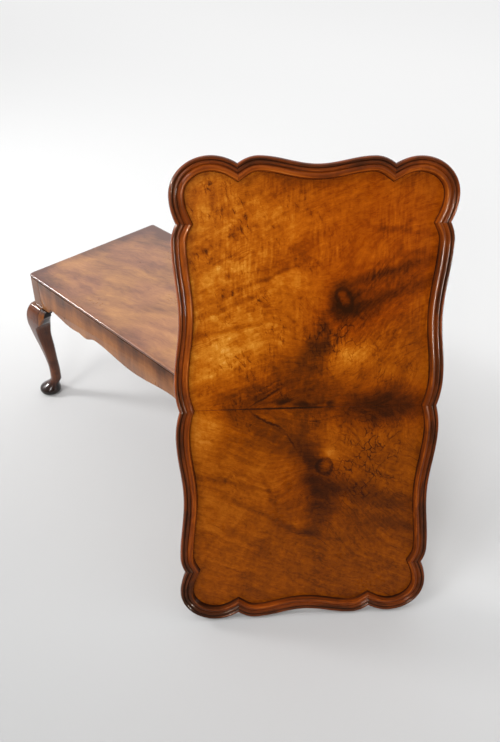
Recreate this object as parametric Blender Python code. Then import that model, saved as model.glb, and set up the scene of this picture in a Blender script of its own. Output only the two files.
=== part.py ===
"""Low walnut table on cabriole legs, with a lift-off scalloped tray that leans against one corner.

Metres, +Z up. Each piece is its own object. The table's corners and sides and the tray hang on empties.
"""

from math import cos, pi, radians, sin

import bmesh
import bpy
from mathutils import Matrix, Vector

# Clearance between pieces that touch
GAP = 0.0003

# Table top and frame, over the outer faces
FRAME_LENGTH = 0.844
FRAME_WIDTH = 0.421
TABLE_HEIGHT = 0.400
TOP_THICKNESS = 0.010
TOP_EDGE_WIDTH = 0.0070
TOP_EDGE_RISE = 0.0050
TOP_QUIRK = 0.0018
CORNER_RADIUS = 0.010

# Cabriole legs: square post, knee, shin, ankle and pad foot
POST_SIZE = 0.040
SHOULDER_DROP = 0.092
SHOULDER_LEDGE = 0.0050
KNEE_REACH = 0.0210
KNEE_ARRIS = 0.009
KNEE_HOLLOW = 0.030
SHIN_ROUND = 0.0095
ANKLE_HEIGHT = 0.085
ANKLE_RADIUS = 0.0145
ANKLE_INSET = 0.0180
INSTEP_HEIGHT = 0.036
FOOT_HEIGHT = 0.012
FOOT_RADIUS = 0.0295
FOOT_INSET = 0.0032
SOLE_RADIUS = 0.0230

# Ear blocks beside the knees
EAR_LENGTH = 0.025
EAR_DROP = 0.050
EAR_TIP = 0.016
EAR_TAPER = 0.25

# Aprons: depths are below the table's upper face, places are from the middle of the apron
APRON_THICKNESS = 0.018
APRON_RUN_DEPTH = 0.0765
TAB_COVE = 0.014
HUMP_DEPTH = 0.0890
DIP_DEPTH = 0.0745
DIP_AT = 0.1450
LOBE_DEPTH = 0.0895
INNER_LOBE_AT = 0.1890
LOBE_NOTCH_AT = 0.2150
LOBE_NOTCH_DEPTH = 0.0855
OUTER_LOBE_AT = 0.2480
END_DIP_AT = 0.0620
END_LOBE_AT = 0.0920

# Mortise and tenon joints
TENON_LENGTH = 0.019
TENON_THICKNESS = 0.008
TENON_TOP_DROP = 0.028
TENON_HEIGHT = 0.052

# Turn-buttons that hold the top, and their screws
BUTTON_WIDTH = 0.030
BUTTON_LENGTH = 0.024
BUTTON_HEIGHT = 0.017
BUTTON_TONGUE = 0.007
BUTTON_SETBACK = 0.0009
SLOT_DEPTH = 0.008
LONG_BUTTON_AT = 0.220
SCREW_HEAD_RADIUS = 0.0040
SCREW_SHANK_RADIUS = 0.0020
SCREW_HEAD_HEIGHT = 0.0030
SCREW_POINT = 0.0030
SCREW_BITE = 0.0065

# Tray over its rim, with the scalloped outline: insets are from the overall size
TRAY_LENGTH = 0.956
TRAY_WIDTH = 0.529
END_NOTCH_FROM_SIDE = 0.1225
END_NOTCH_INSET = 0.0130
END_CREST_FROM_SIDE = 0.1600
END_DIP_INSET = 0.0140
LOBE_CREST_FROM_SIDE = 0.0765
LOBE_CREST_FROM_END = 0.0690
SIDE_NOTCH_FROM_END = 0.1180
SIDE_NOTCH_INSET = 0.0115
SIDE_CREST_FROM_END = 0.1530
SIDE_CREST_INSET = 0.0020
SIDE_DIP_INSET = 0.0120
MID_CREST_AT = 0.0550
MID_NOTCH_INSET = 0.0085

# Tray board, veneer, rim moulding and locating fillets
BOARD_THICKNESS = 0.0060
VENEER_THICKNESS = 0.0010
RIM_WIDTH = 0.0285
RIM_HEIGHT = 0.0200
RIM_REBATE = 0.0100
RIM_FOOT_INSET = 0.0020
RIM_SIDE_HEIGHT = 0.0140
OUTER_BEAD_AT = 0.0036
OUTER_BEAD_HEIGHT = 0.0195
OUTER_QUIRK_AT = 0.0078
OUTER_QUIRK_HEIGHT = 0.0166
MID_BEAD_AT = 0.0117
MID_BEAD_HEIGHT = 0.0190
INNER_QUIRK_AT = 0.0157
INNER_QUIRK_HEIGHT = 0.0160
RIM_CREST_AT = 0.0245
FILLET_WIDTH = 0.012
FILLET_HEIGHT = 0.009
FILLET_PLAY = 0.002
LONG_FILLET_LENGTH = 0.600
SHORT_FILLET_LENGTH = 0.260

# How the tray stands: lean from upright, turn of its width about Z, place of the table corner on its back
TRAY_LEAN = radians(20.0)
TRAY_TURN = radians(48.9)
CORNER_ON_TRAY = -0.092

# Facets: steps of a corner, a lobe, a scallop's stretch, a moulding's member and a turned screw
CORNER_STEPS = 4
LOBE_STEPS = 7
SCALLOP_STEPS = 4
MOULDING_STEPS = 3
TURN_STEPS = 10
SMOOTH_ANGLE = radians(35.0)

# Worked out from the sizes above
FRAME_TOP = TABLE_HEIGHT - TOP_THICKNESS
SHOULDER = TABLE_HEIGHT - SHOULDER_DROP
KNEE = SHOULDER - EAR_DROP
VENEER_SEAT = BOARD_THICKNESS + GAP
RIM_SEAT = VENEER_SEAT + VENEER_THICKNESS + GAP

# Kinds of point in a scalloped line
LEVEL = "level"
NOTCH = "notch"

# Finishes: colour, roughness
POLISHED_TOP = ((0.42, 0.20, 0.075), 0.28)
POLISHED_FRAME = ((0.31, 0.13, 0.045), 0.32)
POLISHED_LEG = ((0.13, 0.045, 0.018), 0.30)
FIGURED_VENEER = ((0.45, 0.18, 0.03), 0.25)
DARK_MOULDING = ((0.20, 0.065, 0.018), 0.26)
BARE_WOOD = ((0.36, 0.22, 0.11), 0.75)
BRIGHT_STEEL = ((0.45, 0.44, 0.42), 0.35)


def clear_scene():
    """Take every object out of the scene."""
    for obj in list(bpy.data.objects):
        bpy.data.objects.remove(obj, do_unlink=True)


def part_collection(name):
    """A collection for the pieces, made the active one."""
    collection = bpy.data.collections.new(name)
    bpy.context.scene.collection.children.link(collection)
    layer = bpy.context.view_layer
    layer.active_layer_collection = layer.layer_collection.children[collection.name]


def cutter_collection(name):
    """A collection for helpers that no render shows."""
    collection = bpy.data.collections.new(name)
    collection.hide_render = True
    bpy.context.scene.collection.children.link(collection)
    return collection


def empty(name, parent=None, matrix=None):
    """An empty that carries pieces."""
    holder = bpy.data.objects.new(name, None)
    bpy.context.collection.objects.link(holder)
    holder.parent = parent
    if matrix is not None:
        holder.matrix_local = matrix
    return holder


def finish(obj, look, metallic=0.0):
    """Give a piece its own Principled material."""
    colour, roughness = look
    material = bpy.data.materials.new(obj.name)
    material.use_nodes = True
    shader = material.node_tree.nodes["Principled BSDF"]
    shader.inputs["Base Color"].default_value = (*colour, 1.0)
    shader.inputs["Roughness"].default_value = roughness
    shader.inputs["Metallic"].default_value = metallic
    obj.data.materials.append(material)


def piece(name, bm, parent, look, metallic=0.0):
    """Turn a bmesh into a named piece with a material, smooth across its shallow edges."""
    obj = helper(name, bm, parent, bpy.context.collection)
    obj.data.shade_smooth()
    obj.data.set_sharp_from_angle(angle=SMOOTH_ANGLE)
    finish(obj, look, metallic)
    return obj


def helper(name, bm, parent, collection):
    """Turn a bmesh into an object of a collection, with its faces turned outwards."""
    bmesh.ops.recalc_face_normals(bm, faces=bm.faces)
    mesh = bpy.data.meshes.new(name)
    bm.to_mesh(mesh)
    bm.free()
    obj = bpy.data.objects.new(name, mesh)
    collection.objects.link(obj)
    obj.parent = parent
    return obj


def cutter(name, bm, parent, collection):
    """A helper for a Boolean, drawn as wire."""
    obj = helper(name, bm, parent, collection)
    obj.hide_render = True
    obj.display_type = "WIRE"
    return obj


def boolean(obj, other, operation):
    """Cut or join a piece with a helper object, or with all helpers of a collection."""
    modifier = obj.modifiers.new(f"{operation.lower()}_{other.name}", "BOOLEAN")
    modifier.operation = operation
    modifier.solver = "EXACT"
    if isinstance(other, bpy.types.Collection):
        modifier.operand_type = "COLLECTION"
        modifier.collection = other
    else:
        modifier.object = other


def add_box(bm, low, high):
    """Add a box between two corners to a bmesh."""
    low, high = Vector(low), Vector(high)
    scale = Matrix.Diagonal((*(high - low), 1.0))
    bmesh.ops.create_cube(bm, size=1.0, matrix=Matrix.Translation((low + high) / 2) @ scale)


def box(low, high):
    """A bmesh box between two corners."""
    bm = bmesh.new()
    add_box(bm, low, high)
    return bm


def loft(sections):
    """A closed bmesh skin through sections that have the same number of points."""
    bm = bmesh.new()
    loops = [[bm.verts.new(point) for point in section] for section in sections]
    for lower, upper in zip(loops, loops[1:]):
        for i in range(len(lower)):
            bm.faces.new((lower[i - 1], lower[i], upper[i], upper[i - 1]))
    bm.faces.new(loops[0])
    bm.faces.new(loops[-1])
    return bm


def plate(outline, low, high):
    """A bmesh plate: a filled 2D curve through the outline, extruded from height low to height high."""
    curve = bpy.data.curves.new("plate", "CURVE")
    curve.dimensions = "2D"
    curve.fill_mode = "BOTH"
    curve.extrude = (high - low) / 2
    spline = curve.splines.new("POLY")
    spline.points.add(len(outline) - 1)
    for point, (x, y) in zip(spline.points, outline):
        point.co = (x, y, 0.0, 1.0)
    spline.use_cyclic_u = True
    holder = bpy.data.objects.new("plate", curve)
    bm = bmesh.new()
    bm.from_mesh(holder.to_mesh())
    bpy.data.objects.remove(holder)
    bpy.data.curves.remove(curve)
    bmesh.ops.remove_doubles(bm, verts=bm.verts, dist=1e-6)
    bmesh.ops.translate(bm, verts=bm.verts, vec=(0.0, 0.0, (low + high) / 2))
    return bm


def turned(profile, centre):
    """A bmesh turned about an upright axis, from (radius, height) points that start and end on it."""
    bm = bmesh.new()
    verts = [bm.verts.new((centre[0] + radius, centre[1], height)) for radius, height in profile]
    edges = [bm.edges.new(pair) for pair in zip(verts, verts[1:])]
    axis_point = (centre[0], centre[1], 0.0)
    bmesh.ops.spin(bm, geom=verts + edges, cent=axis_point, axis=(0, 0, 1), angle=2 * pi, steps=TURN_STEPS)
    bmesh.ops.remove_doubles(bm, verts=bm.verts, dist=1e-6)
    return bm


def rounded_corner(corner, inward, radius, fullness=1.0):
    """Points of one corner of a section: an arc at fullness 1, a straight chamfer at 0.

    The corner is met counterclockwise; inward holds the signs of the way from it to the section's middle.
    """
    start = Vector((0.0, 1.0)) if inward[0] * inward[1] > 0 else Vector((1.0, 0.0))
    end = Vector((1.0, 0.0)) if inward[0] * inward[1] > 0 else Vector((0.0, 1.0))
    inward, corner = Vector(inward), Vector(corner)
    points = []
    for i in range(CORNER_STEPS + 1):
        share = i / CORNER_STEPS
        arc = start * (1 - sin(share * pi / 2)) + end * (1 - cos(share * pi / 2))
        chamfer = start * (1 - share) + end * share
        offset = (chamfer.lerp(arc, fullness)) * radius
        points.append(corner + Vector((offset.x * inward.x, offset.y * inward.y)))
    return points


def rounded_rectangle(low, high, radii, height, inner_fullness=1.0):
    """A section at a height: a rectangle with four corner radii, from the low corner counterclockwise."""
    points = rounded_corner(low, (1, 1), radii[0])
    points += rounded_corner((high[0], low[1]), (-1, 1), radii[1])
    points += rounded_corner(high, (-1, -1), radii[2], inner_fullness)
    points += rounded_corner((low[0], high[1]), (1, -1), radii[3])
    return [(x, y, height) for x, y in points]


def smooth_through(keys, height):
    """Values at a height on a smooth curve through keys of (height, values...), listed from high to low."""
    i = max(k for k in range(len(keys) - 1) if height <= keys[k][0])
    before, start, end, after = (keys[min(max(k, 0), len(keys) - 1)] for k in range(i - 1, i + 3))
    span = start[0] - end[0]
    s = (start[0] - height) / span
    values = []
    for k in range(1, len(start)):
        slope_start = (end[k] - before[k]) / (before[0] - end[0]) * span
        slope_end = (after[k] - start[k]) / (start[0] - after[0]) * span
        rise = end[k] - start[k]
        bend = (slope_start - rise) * (1 - s) - (slope_end - rise) * s
        values.append(start[k] + rise * s + s * (1 - s) * bend)
    return values


def knee_reach(height):
    """How far the knee and its ears stand out from the frame's faces at a height."""
    share = max(SHOULDER - height, 0.0) / EAR_DROP
    return SHOULDER_LEDGE + (KNEE_REACH - SHOULDER_LEDGE) * sin(share**0.7 * pi / 2)


def shin_height(share):
    """A height on the shin, as a share of the way from the ankle up to the knee."""
    return ANKLE_HEIGHT + share * (KNEE - ANKLE_HEIGHT)


def shin_keys():
    """Sections from the knee to the instep: height, outer reach, inner face, radius of the edges."""
    ankle_outer = ANKLE_RADIUS - ANKLE_INSET
    calf = ankle_outer + 0.41 * (KNEE_REACH - ankle_outer)
    ankle_inner = ANKLE_INSET + ANKLE_RADIUS
    return [
        (shin_height(0.91), KNEE_REACH - 0.0008, ankle_inner - 0.0048, SHIN_ROUND - 0.0015),
        (shin_height(0.70), KNEE_REACH - 0.0065, ankle_inner - 0.0068, SHIN_ROUND),
        (shin_height(0.45), calf, ankle_inner - 0.0040, SHIN_ROUND + 0.0015),
        (shin_height(0.21), ankle_outer + 0.0033, ankle_inner - 0.0022, SHIN_ROUND + 0.0030),
        (ANKLE_HEIGHT, ankle_outer, ankle_inner, ANKLE_RADIUS),
        (INSTEP_HEIGHT + 0.012, ankle_outer, ankle_inner, ANKLE_RADIUS),
    ]


def foot_keys():
    """Round sections of the pad foot: height, centre's inset, radius."""
    rise = INSTEP_HEIGHT - FOOT_HEIGHT
    return [
        (INSTEP_HEIGHT, ANKLE_INSET - 0.0050, ANKLE_RADIUS + 0.0012),
        (FOOT_HEIGHT + 0.62 * rise, FOOT_INSET + 0.0042, FOOT_RADIUS - 0.0078),
        (FOOT_HEIGHT + 0.27 * rise, FOOT_INSET + 0.0008, FOOT_RADIUS - 0.0019),
        (FOOT_HEIGHT, FOOT_INSET, FOOT_RADIUS),
        (FOOT_HEIGHT * 0.38, FOOT_INSET, FOOT_RADIUS - 0.0014),
        (0.0, FOOT_INSET, SOLE_RADIUS),
    ]


def square_section(reach, inner, radii, height, inner_fullness=1.0):
    """A leg section that stands out by reach past the outer faces and ends at inner inside."""
    return rounded_rectangle((-reach, -reach), (inner, inner), radii, height, inner_fullness)


def leg_sections():
    """Sections of a cabriole leg from post to sole, with the post's outer corner at x = y = 0."""
    sharp = 0.0010
    post = (CORNER_RADIUS, sharp, sharp, sharp)
    sections = [square_section(0.0, POST_SIZE, post, height) for height in (FRAME_TOP - GAP, SHOULDER)]
    knee = (KNEE_ARRIS, sharp, KNEE_HOLLOW, sharp)
    for share in (0.0005, 0.05, 0.14, 0.28, 0.48, 0.72, 1.0):
        height = SHOULDER - share * EAR_DROP
        sections.append(square_section(knee_reach(height), POST_SIZE, knee, height, 0.0))
    shin = shin_keys()
    for share in (0.0, 0.10, 0.25, 0.42, 0.60, 0.80, 1.0):
        height = shin[0][0] + share * (shin[-1][0] - shin[0][0])
        reach, inner, radius = smooth_through(shin, height)
        radius = min(radius, 0.47 * (reach + inner))
        sections.append(square_section(reach, inner, (radius,) * 4, height))
    for height, inset, radius in foot_keys():
        arc = 0.94 * radius
        sections.append(square_section(radius - inset, radius + inset, (arc,) * 4, height))
    return sections


def tenon_box(along_from, along_to, clearance):
    """Corners of a tenon, or of its mortise, beside an apron's middle plane: along, across and up."""
    middle = APRON_THICKNESS / 2
    half = TENON_THICKNESS / 2 + clearance
    upper = FRAME_TOP - TENON_TOP_DROP + clearance
    lower = FRAME_TOP - TENON_TOP_DROP - TENON_HEIGHT - clearance
    return (along_from, middle - half, lower), (along_to, middle + half, upper)


def build_leg(name, corner, cutters):
    """A cabriole leg with a mortise for each of its two aprons."""
    leg = piece(name, loft(leg_sections()), corner, POLISHED_LEG)
    bottom = POST_SIZE - TENON_LENGTH - GAP
    low, high = tenon_box(bottom, POST_SIZE + 0.005, GAP)
    mortises = box(low, high)
    add_box(mortises, (low[1], low[0], low[2]), (high[1], high[0], high[2]))
    boolean(leg, cutter(f"mortises_{name}", mortises, corner, cutters), "DIFFERENCE")


def build_ear(name, corner, swapped):
    """An ear block beside a knee, along the corner's x, or along its y when swapped."""
    top = SHOULDER - GAP
    back = POST_SIZE - KNEE_HOLLOW
    sections = []
    for share in (0.0, 0.2, 0.4, 0.6, 0.8, 0.94, 1.0):
        along = POST_SIZE + GAP + share * EAR_LENGTH
        ogee = (1 - cos(pi * share)) / 2
        bottom = KNEE + GAP + (EAR_DROP - EAR_TIP - GAP) * ogee
        taper = 1 - EAR_TAPER * share**2
        section = [(along, back, bottom)]
        for step in range(5):
            height = bottom + (top - bottom) * step / 4
            section.append((along, -knee_reach(height) * taper, height))
        section.append((along, back, top))
        sections.append(section)
    if swapped:
        sections = [[(y, x, z) for x, y, z in section] for section in sections]
    return piece(name, loft(sections), corner, POLISHED_LEG)


def build_corner(place, table, cutters):
    """One leg and its two ears, on an empty at the frame's outer corner."""
    name, x_side, y_side, quarter_turns = place
    spot = Matrix.Translation((x_side * FRAME_LENGTH / 2, y_side * FRAME_WIDTH / 2, 0.0))
    corner = empty(f"corner_{name}", table, spot @ Matrix.Rotation(quarter_turns * pi / 2, 4, "Z"))
    build_leg(f"leg_{name}", corner, cutters)
    along_x_is_long = quarter_turns % 2 == 0
    build_ear(f"ear_{name}_side", corner, not along_x_is_long)
    build_ear(f"ear_{name}_end", corner, along_x_is_long)


def scalloped(keys, steps=SCALLOP_STEPS):
    """A line through keys of (along, out, kind): it waves between levels and bows to notches."""
    points = [keys[0][:2]]
    for (from_at, from_out, from_kind), (to_at, to_out, to_kind) in zip(keys, keys[1:]):
        for i in range(1, steps + 1):
            share = i / steps
            blend = (1 - cos(pi * share)) / 2
            if to_kind == NOTCH:
                blend = share**2
            elif from_kind == NOTCH:
                blend = 1 - (1 - share) ** 2
            points.append((from_at + (to_at - from_at) * share, from_out + (to_out - from_out) * blend))
    return points


def long_apron_keys(cove_at):
    """Half of a long apron's lower edge: hump, dip, two lobes with a notch between, run to the ear."""
    return [
        (0.0, HUMP_DEPTH, LEVEL),
        (DIP_AT, DIP_DEPTH, LEVEL),
        (INNER_LOBE_AT, LOBE_DEPTH, LEVEL),
        (LOBE_NOTCH_AT, LOBE_NOTCH_DEPTH, NOTCH),
        (OUTER_LOBE_AT, LOBE_DEPTH, LEVEL),
        (cove_at, APRON_RUN_DEPTH, LEVEL),
    ]


def short_apron_keys(cove_at):
    """Half of a short apron's lower edge: the same hump and one lobe."""
    return [
        (0.0, HUMP_DEPTH, LEVEL),
        (END_DIP_AT, DIP_DEPTH, LEVEL),
        (END_LOBE_AT, LOBE_DEPTH, LEVEL),
        (cove_at, APRON_RUN_DEPTH, LEVEL),
    ]


def apron_outline(half, keys):
    """An apron's face between the posts: level top, shaped lower edge, a cove down to each ear's tab."""
    tab_at = half - EAR_LENGTH
    edge = [(x, TABLE_HEIGHT - depth) for x, depth in scalloped(keys)]
    tab = SHOULDER + GAP
    drop = TABLE_HEIGHT - APRON_RUN_DEPTH - tab
    for i in range(1, CORNER_STEPS + 1):
        turn = i / CORNER_STEPS * pi / 2
        edge.append((tab_at - TAB_COVE * cos(turn), tab + drop * (1 - sin(turn))))
    edge.append((half, tab))
    edge.append((half, FRAME_TOP - GAP))
    return [(-x, z) for x, z in reversed(edge[1:])] + edge


def upright(bm):
    """Stand a plate drawn in x and y on its edge, so that y is up and its thickness runs inwards."""
    bmesh.ops.rotate(bm, verts=bm.verts, cent=(0, 0, 0), matrix=Matrix.Rotation(pi / 2, 3, "X"))
    return bm


def build_apron(name, side, span, keys_of, button_places, cutters):
    """A shaped apron with a tenon at each end and a slot for each turn-button."""
    half = span / 2 - POST_SIZE - GAP
    keys = keys_of(half - EAR_LENGTH - TAB_COVE)
    body = upright(plate(apron_outline(half, keys), -APRON_THICKNESS, 0.0))
    apron = piece(name, body, side, POLISHED_FRAME)
    tenons = box(*tenon_box(half - 0.005, span / 2 - POST_SIZE + TENON_LENGTH, 0.0))
    low, high = tenon_box(-(span / 2 - POST_SIZE + TENON_LENGTH), -(half - 0.005), 0.0)
    add_box(tenons, low, high)
    boolean(apron, cutter(f"tenons_{name}", tenons, side, cutters), "UNION")
    slots = bmesh.new()
    tongue = FRAME_TOP - GAP - BUTTON_HEIGHT
    for place in button_places:
        reach = BUTTON_WIDTH / 2 + GAP
        low = (place - reach, APRON_THICKNESS - SLOT_DEPTH - GAP, tongue - GAP)
        add_box(slots, low, (place + reach, APRON_THICKNESS + 0.004, tongue + BUTTON_TONGUE + GAP))
    boolean(apron, cutter(f"slots_{name}", slots, side, cutters), "DIFFERENCE")


def button_outline():
    """A turn-button's section: the body under the top and the tongue in the apron's slot."""
    top = FRAME_TOP - GAP
    bottom = top - BUTTON_HEIGHT
    front = APRON_THICKNESS + BUTTON_SETBACK
    tip = APRON_THICKNESS - SLOT_DEPTH
    back = front + BUTTON_LENGTH
    tongue = bottom + BUTTON_TONGUE
    return [(tip, bottom), (back, bottom), (back, top), (front, top), (front, tongue), (tip, tongue)]


def screw_profile(clearance):
    """A countersunk screw from its head up to its point; with a clearance, the hole for it."""
    head = FRAME_TOP - GAP - BUTTON_HEIGHT
    point = FRAME_TOP + SCREW_BITE
    rim = SCREW_HEAD_RADIUS + clearance
    shank = SCREW_SHANK_RADIUS + clearance
    below = head - 10 * clearance
    return [
        (0.0, below),
        (rim, below),
        (rim, head + 0.0006 + clearance),
        (shank, head + SCREW_HEAD_HEIGHT + clearance),
        (shank, point - SCREW_POINT + clearance),
        (0.0, point + clearance),
    ]


def build_button(number, side, place, holes):
    """A turn-button and its screw, at a place along a side."""
    bm = plate(button_outline(), place - BUTTON_WIDTH / 2, place + BUTTON_WIDTH / 2)
    stand = Matrix(((0, 0, 1), (1, 0, 0), (0, 1, 0)))
    bmesh.ops.rotate(bm, verts=bm.verts, cent=(0, 0, 0), matrix=stand)
    button = piece(f"top_button_{number}", bm, side, BARE_WOOD)
    centre = (place, APRON_THICKNESS + BUTTON_SETBACK + BUTTON_LENGTH * 0.55)
    hole = cutter(f"screw_hole_{number}", turned(screw_profile(GAP), centre), side, holes)
    boolean(button, hole, "DIFFERENCE")
    piece(f"button_screw_{number}", turned(screw_profile(0.0), centre), side, BRIGHT_STEEL, 1.0)


def build_top(table, holes):
    """The table's board: quirk below, rounded upper edge, and a blind hole for each button's screw."""
    sections = []

    def add_section(height, inset):
        x, y = FRAME_LENGTH / 2 - inset, FRAME_WIDTH / 2 - inset
        radius = max(CORNER_RADIUS - inset, 0.002)
        sections.append(rounded_rectangle((-x, -y), (x, y), (radius,) * 4, height))

    add_section(FRAME_TOP, TOP_QUIRK)
    add_section(FRAME_TOP + TOP_QUIRK, TOP_QUIRK)
    add_section(FRAME_TOP + TOP_QUIRK * 1.6, 0.0)
    for step in range(5):
        turn = step / 4 * pi / 2
        rise = TABLE_HEIGHT - TOP_EDGE_RISE * (1 - sin(turn))
        add_section(rise, TOP_EDGE_WIDTH * (1 - cos(turn)))
    top = piece("table_top", loft(sections), table, POLISHED_TOP)
    boolean(top, holes, "DIFFERENCE")
    return top


def build_table(root, cutters, holes):
    """The table: four corners, four sides and the top. Returns the top."""
    table = empty("table", root)
    corners = [
        ("front_left", -1, -1, 0),
        ("front_right", 1, -1, 1),
        ("back_right", 1, 1, 2),
        ("back_left", -1, 1, 3),
    ]
    for place in corners:
        build_corner(place, table, cutters)
    long_places, short_places = (-LONG_BUTTON_AT, LONG_BUTTON_AT), (0.0,)
    sides = [
        ("front", FRAME_LENGTH, FRAME_WIDTH, long_apron_keys, long_places),
        ("right", FRAME_WIDTH, FRAME_LENGTH, short_apron_keys, short_places),
        ("back", FRAME_LENGTH, FRAME_WIDTH, long_apron_keys, long_places),
        ("left", FRAME_WIDTH, FRAME_LENGTH, short_apron_keys, short_places),
    ]
    number = 0
    for quarter_turns, (name, span, across, keys_of, places) in enumerate(sides):
        turn = Matrix.Rotation(quarter_turns * pi / 2, 4, "Z")
        side = empty(f"side_{name}", table, turn @ Matrix.Translation((0.0, -across / 2, 0.0)))
        build_apron(f"apron_{name}", side, span, keys_of, places, cutters)
        for place in places:
            number += 1
            build_button(number, side, place, holes)
    return build_top(table, holes)


def side_scallop():
    """Half a long side of the tray, from the middle notch to the corner lobe's notch."""
    half_length = TRAY_LENGTH / 2
    crest = half_length - SIDE_CREST_FROM_END
    keys = [
        (0.0, MID_NOTCH_INSET, NOTCH),
        (MID_CREST_AT, 0.0, LEVEL),
        ((MID_CREST_AT + crest) / 2, SIDE_DIP_INSET, LEVEL),
        (crest, SIDE_CREST_INSET, LEVEL),
        (half_length - SIDE_NOTCH_FROM_END, SIDE_NOTCH_INSET, NOTCH),
    ]
    return [Vector((TRAY_WIDTH / 2 - inset, along)) for along, inset in scalloped(keys)]


def corner_lobe():
    """A corner lobe of the tray, from its notch on the long side round to its notch on the end."""
    side, end = TRAY_WIDTH / 2, TRAY_LENGTH / 2
    crest_along, crest_across = end - LOBE_CREST_FROM_END, side - LOBE_CREST_FROM_SIDE
    rise = scalloped([(end - SIDE_NOTCH_FROM_END, SIDE_NOTCH_INSET, NOTCH), (crest_along, 0.0, LEVEL)])
    points = [Vector((side - inset, along)) for along, inset in rise]
    for i in range(1, LOBE_STEPS):
        turn = i / LOBE_STEPS * pi / 2
        across = crest_across + LOBE_CREST_FROM_SIDE * cos(turn)
        points.append(Vector((across, crest_along + LOBE_CREST_FROM_END * sin(turn))))
    fall = scalloped([(crest_across, 0.0, LEVEL), (side - END_NOTCH_FROM_SIDE, END_NOTCH_INSET, NOTCH)])
    return points + [Vector((across, end - inset)) for across, inset in fall]


def end_scallop():
    """A short end of the tray, from notch to notch."""
    side = TRAY_WIDTH / 2
    keys = [
        (side - END_NOTCH_FROM_SIDE, END_NOTCH_INSET, NOTCH),
        (side - END_CREST_FROM_SIDE, 0.0, LEVEL),
        (0.0, END_DIP_INSET, LEVEL),
        (END_CREST_FROM_SIDE - side, 0.0, LEVEL),
        (END_NOTCH_FROM_SIDE - side, END_NOTCH_INSET, NOTCH),
    ]
    return [Vector((across, TRAY_LENGTH / 2 - inset)) for across, inset in scalloped(keys)]


def mirrored(points):
    """A stretch of outline on the tray's other side, still counterclockwise."""
    return [Vector((-point.x, point.y)) for point in reversed(points)]


def tray_outline():
    """The tray's outline in named stretches between notches, counterclockwise from the right side's middle."""
    side, lobe = side_scallop(), corner_lobe()
    upper = [
        ("side_upper_right", side),
        ("corner_upper_right", lobe),
        ("end_upper", end_scallop()),
        ("corner_upper_left", mirrored(lobe)),
        ("side_upper_left", mirrored(side)),
    ]
    opposite = {"upper": "lower", "right": "left", "left": "right"}
    lower = []
    for name, points in upper:
        turned_name = "_".join(opposite.get(word, word) for word in name.split("_"))
        lower.append((turned_name, [-point for point in points]))
    return upper + lower


def inward(start, end):
    """The inward normal of a step of a counterclockwise outline."""
    step = (end - start).normalized()
    return Vector((-step.y, step.x))


def mitre(normal, other):
    """The mitre line's inward direction between two steps, as long as one unit of inset asks for."""
    middle = (normal + other).normalized()
    return middle / middle.dot(normal)


def inset_directions(outline):
    """The way that each point of each stretch moves for one unit of inset, mitred at the ends."""
    directions = []
    for i, (_, points) in enumerate(outline):
        before, after = outline[i - 1][1], outline[(i + 1) % len(outline)][1]
        normals = [inward(before[-2], before[-1])]
        normals += [inward(start, end) for start, end in zip(points, points[1:])]
        normals.append(inward(after[0], after[1]))
        directions.append([mitre(normal, other) for normal, other in zip(normals, normals[1:])])
    return directions


def inset_outline(outline, directions, inset):
    """The whole outline, moved inwards, as one closed line."""
    line = []
    for (_, points), ways in zip(outline, directions):
        line += [point + way * inset for point, way in zip(points[:-1], ways)]
    return line


def rim_section():
    """The rim moulding's section as (inset, height): two beads with quirks between, a broad band, the rebate."""
    keys = [
        (0.0, RIM_SIDE_HEIGHT, NOTCH),
        (OUTER_BEAD_AT, OUTER_BEAD_HEIGHT, LEVEL),
        (OUTER_QUIRK_AT, OUTER_QUIRK_HEIGHT, NOTCH),
        (MID_BEAD_AT, MID_BEAD_HEIGHT, LEVEL),
        (INNER_QUIRK_AT, INNER_QUIRK_HEIGHT, NOTCH),
        (RIM_CREST_AT, RIM_HEIGHT, LEVEL),
        (RIM_WIDTH, RIM_SEAT, NOTCH),
    ]
    rebate = [(RIM_REBATE, RIM_SEAT), (RIM_REBATE, 0.0), (RIM_FOOT_INSET, 0.0)]
    return scalloped(keys, MOULDING_STEPS) + rebate


def build_rim(outline, directions, tray):
    """The rim: a mitred length of moulding for each stretch of the outline."""
    section = rim_section()
    for (name, points), ways in zip(outline, directions):
        rings = []
        for point, way in zip(points, ways):
            rings.append([(*(point + way * inset), height) for inset, height in section])
        for ring, way, sign in ((rings[0], ways[0], 1), (rings[-1], ways[-1], -1)):
            along = Vector((way.y, -way.x, 0.0)).normalized()
            ring[:] = [Vector(point) + along * sign * GAP / 2 for point in ring]
        piece(f"rim_{name}", loft(rings), tray, DARK_MOULDING)


def build_veneer(line, tray):
    """Two book-matched leaves that meet at the seam across the tray's middle."""
    for name, sign in (("upper", 1), ("lower", -1)):
        half = [(p.x, sign * max(sign * p.y, GAP / 2)) for p in line if sign * p.y > -1e-6]
        first = next(i for i, p in enumerate(half) if abs(p[1]) <= GAP and abs(half[i - 1][1]) <= GAP)
        leaf = plate(half[first:] + half[:first], VENEER_SEAT, VENEER_SEAT + VENEER_THICKNESS)
        piece(f"tray_veneer_{name}", leaf, tray, FIGURED_VENEER)


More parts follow.
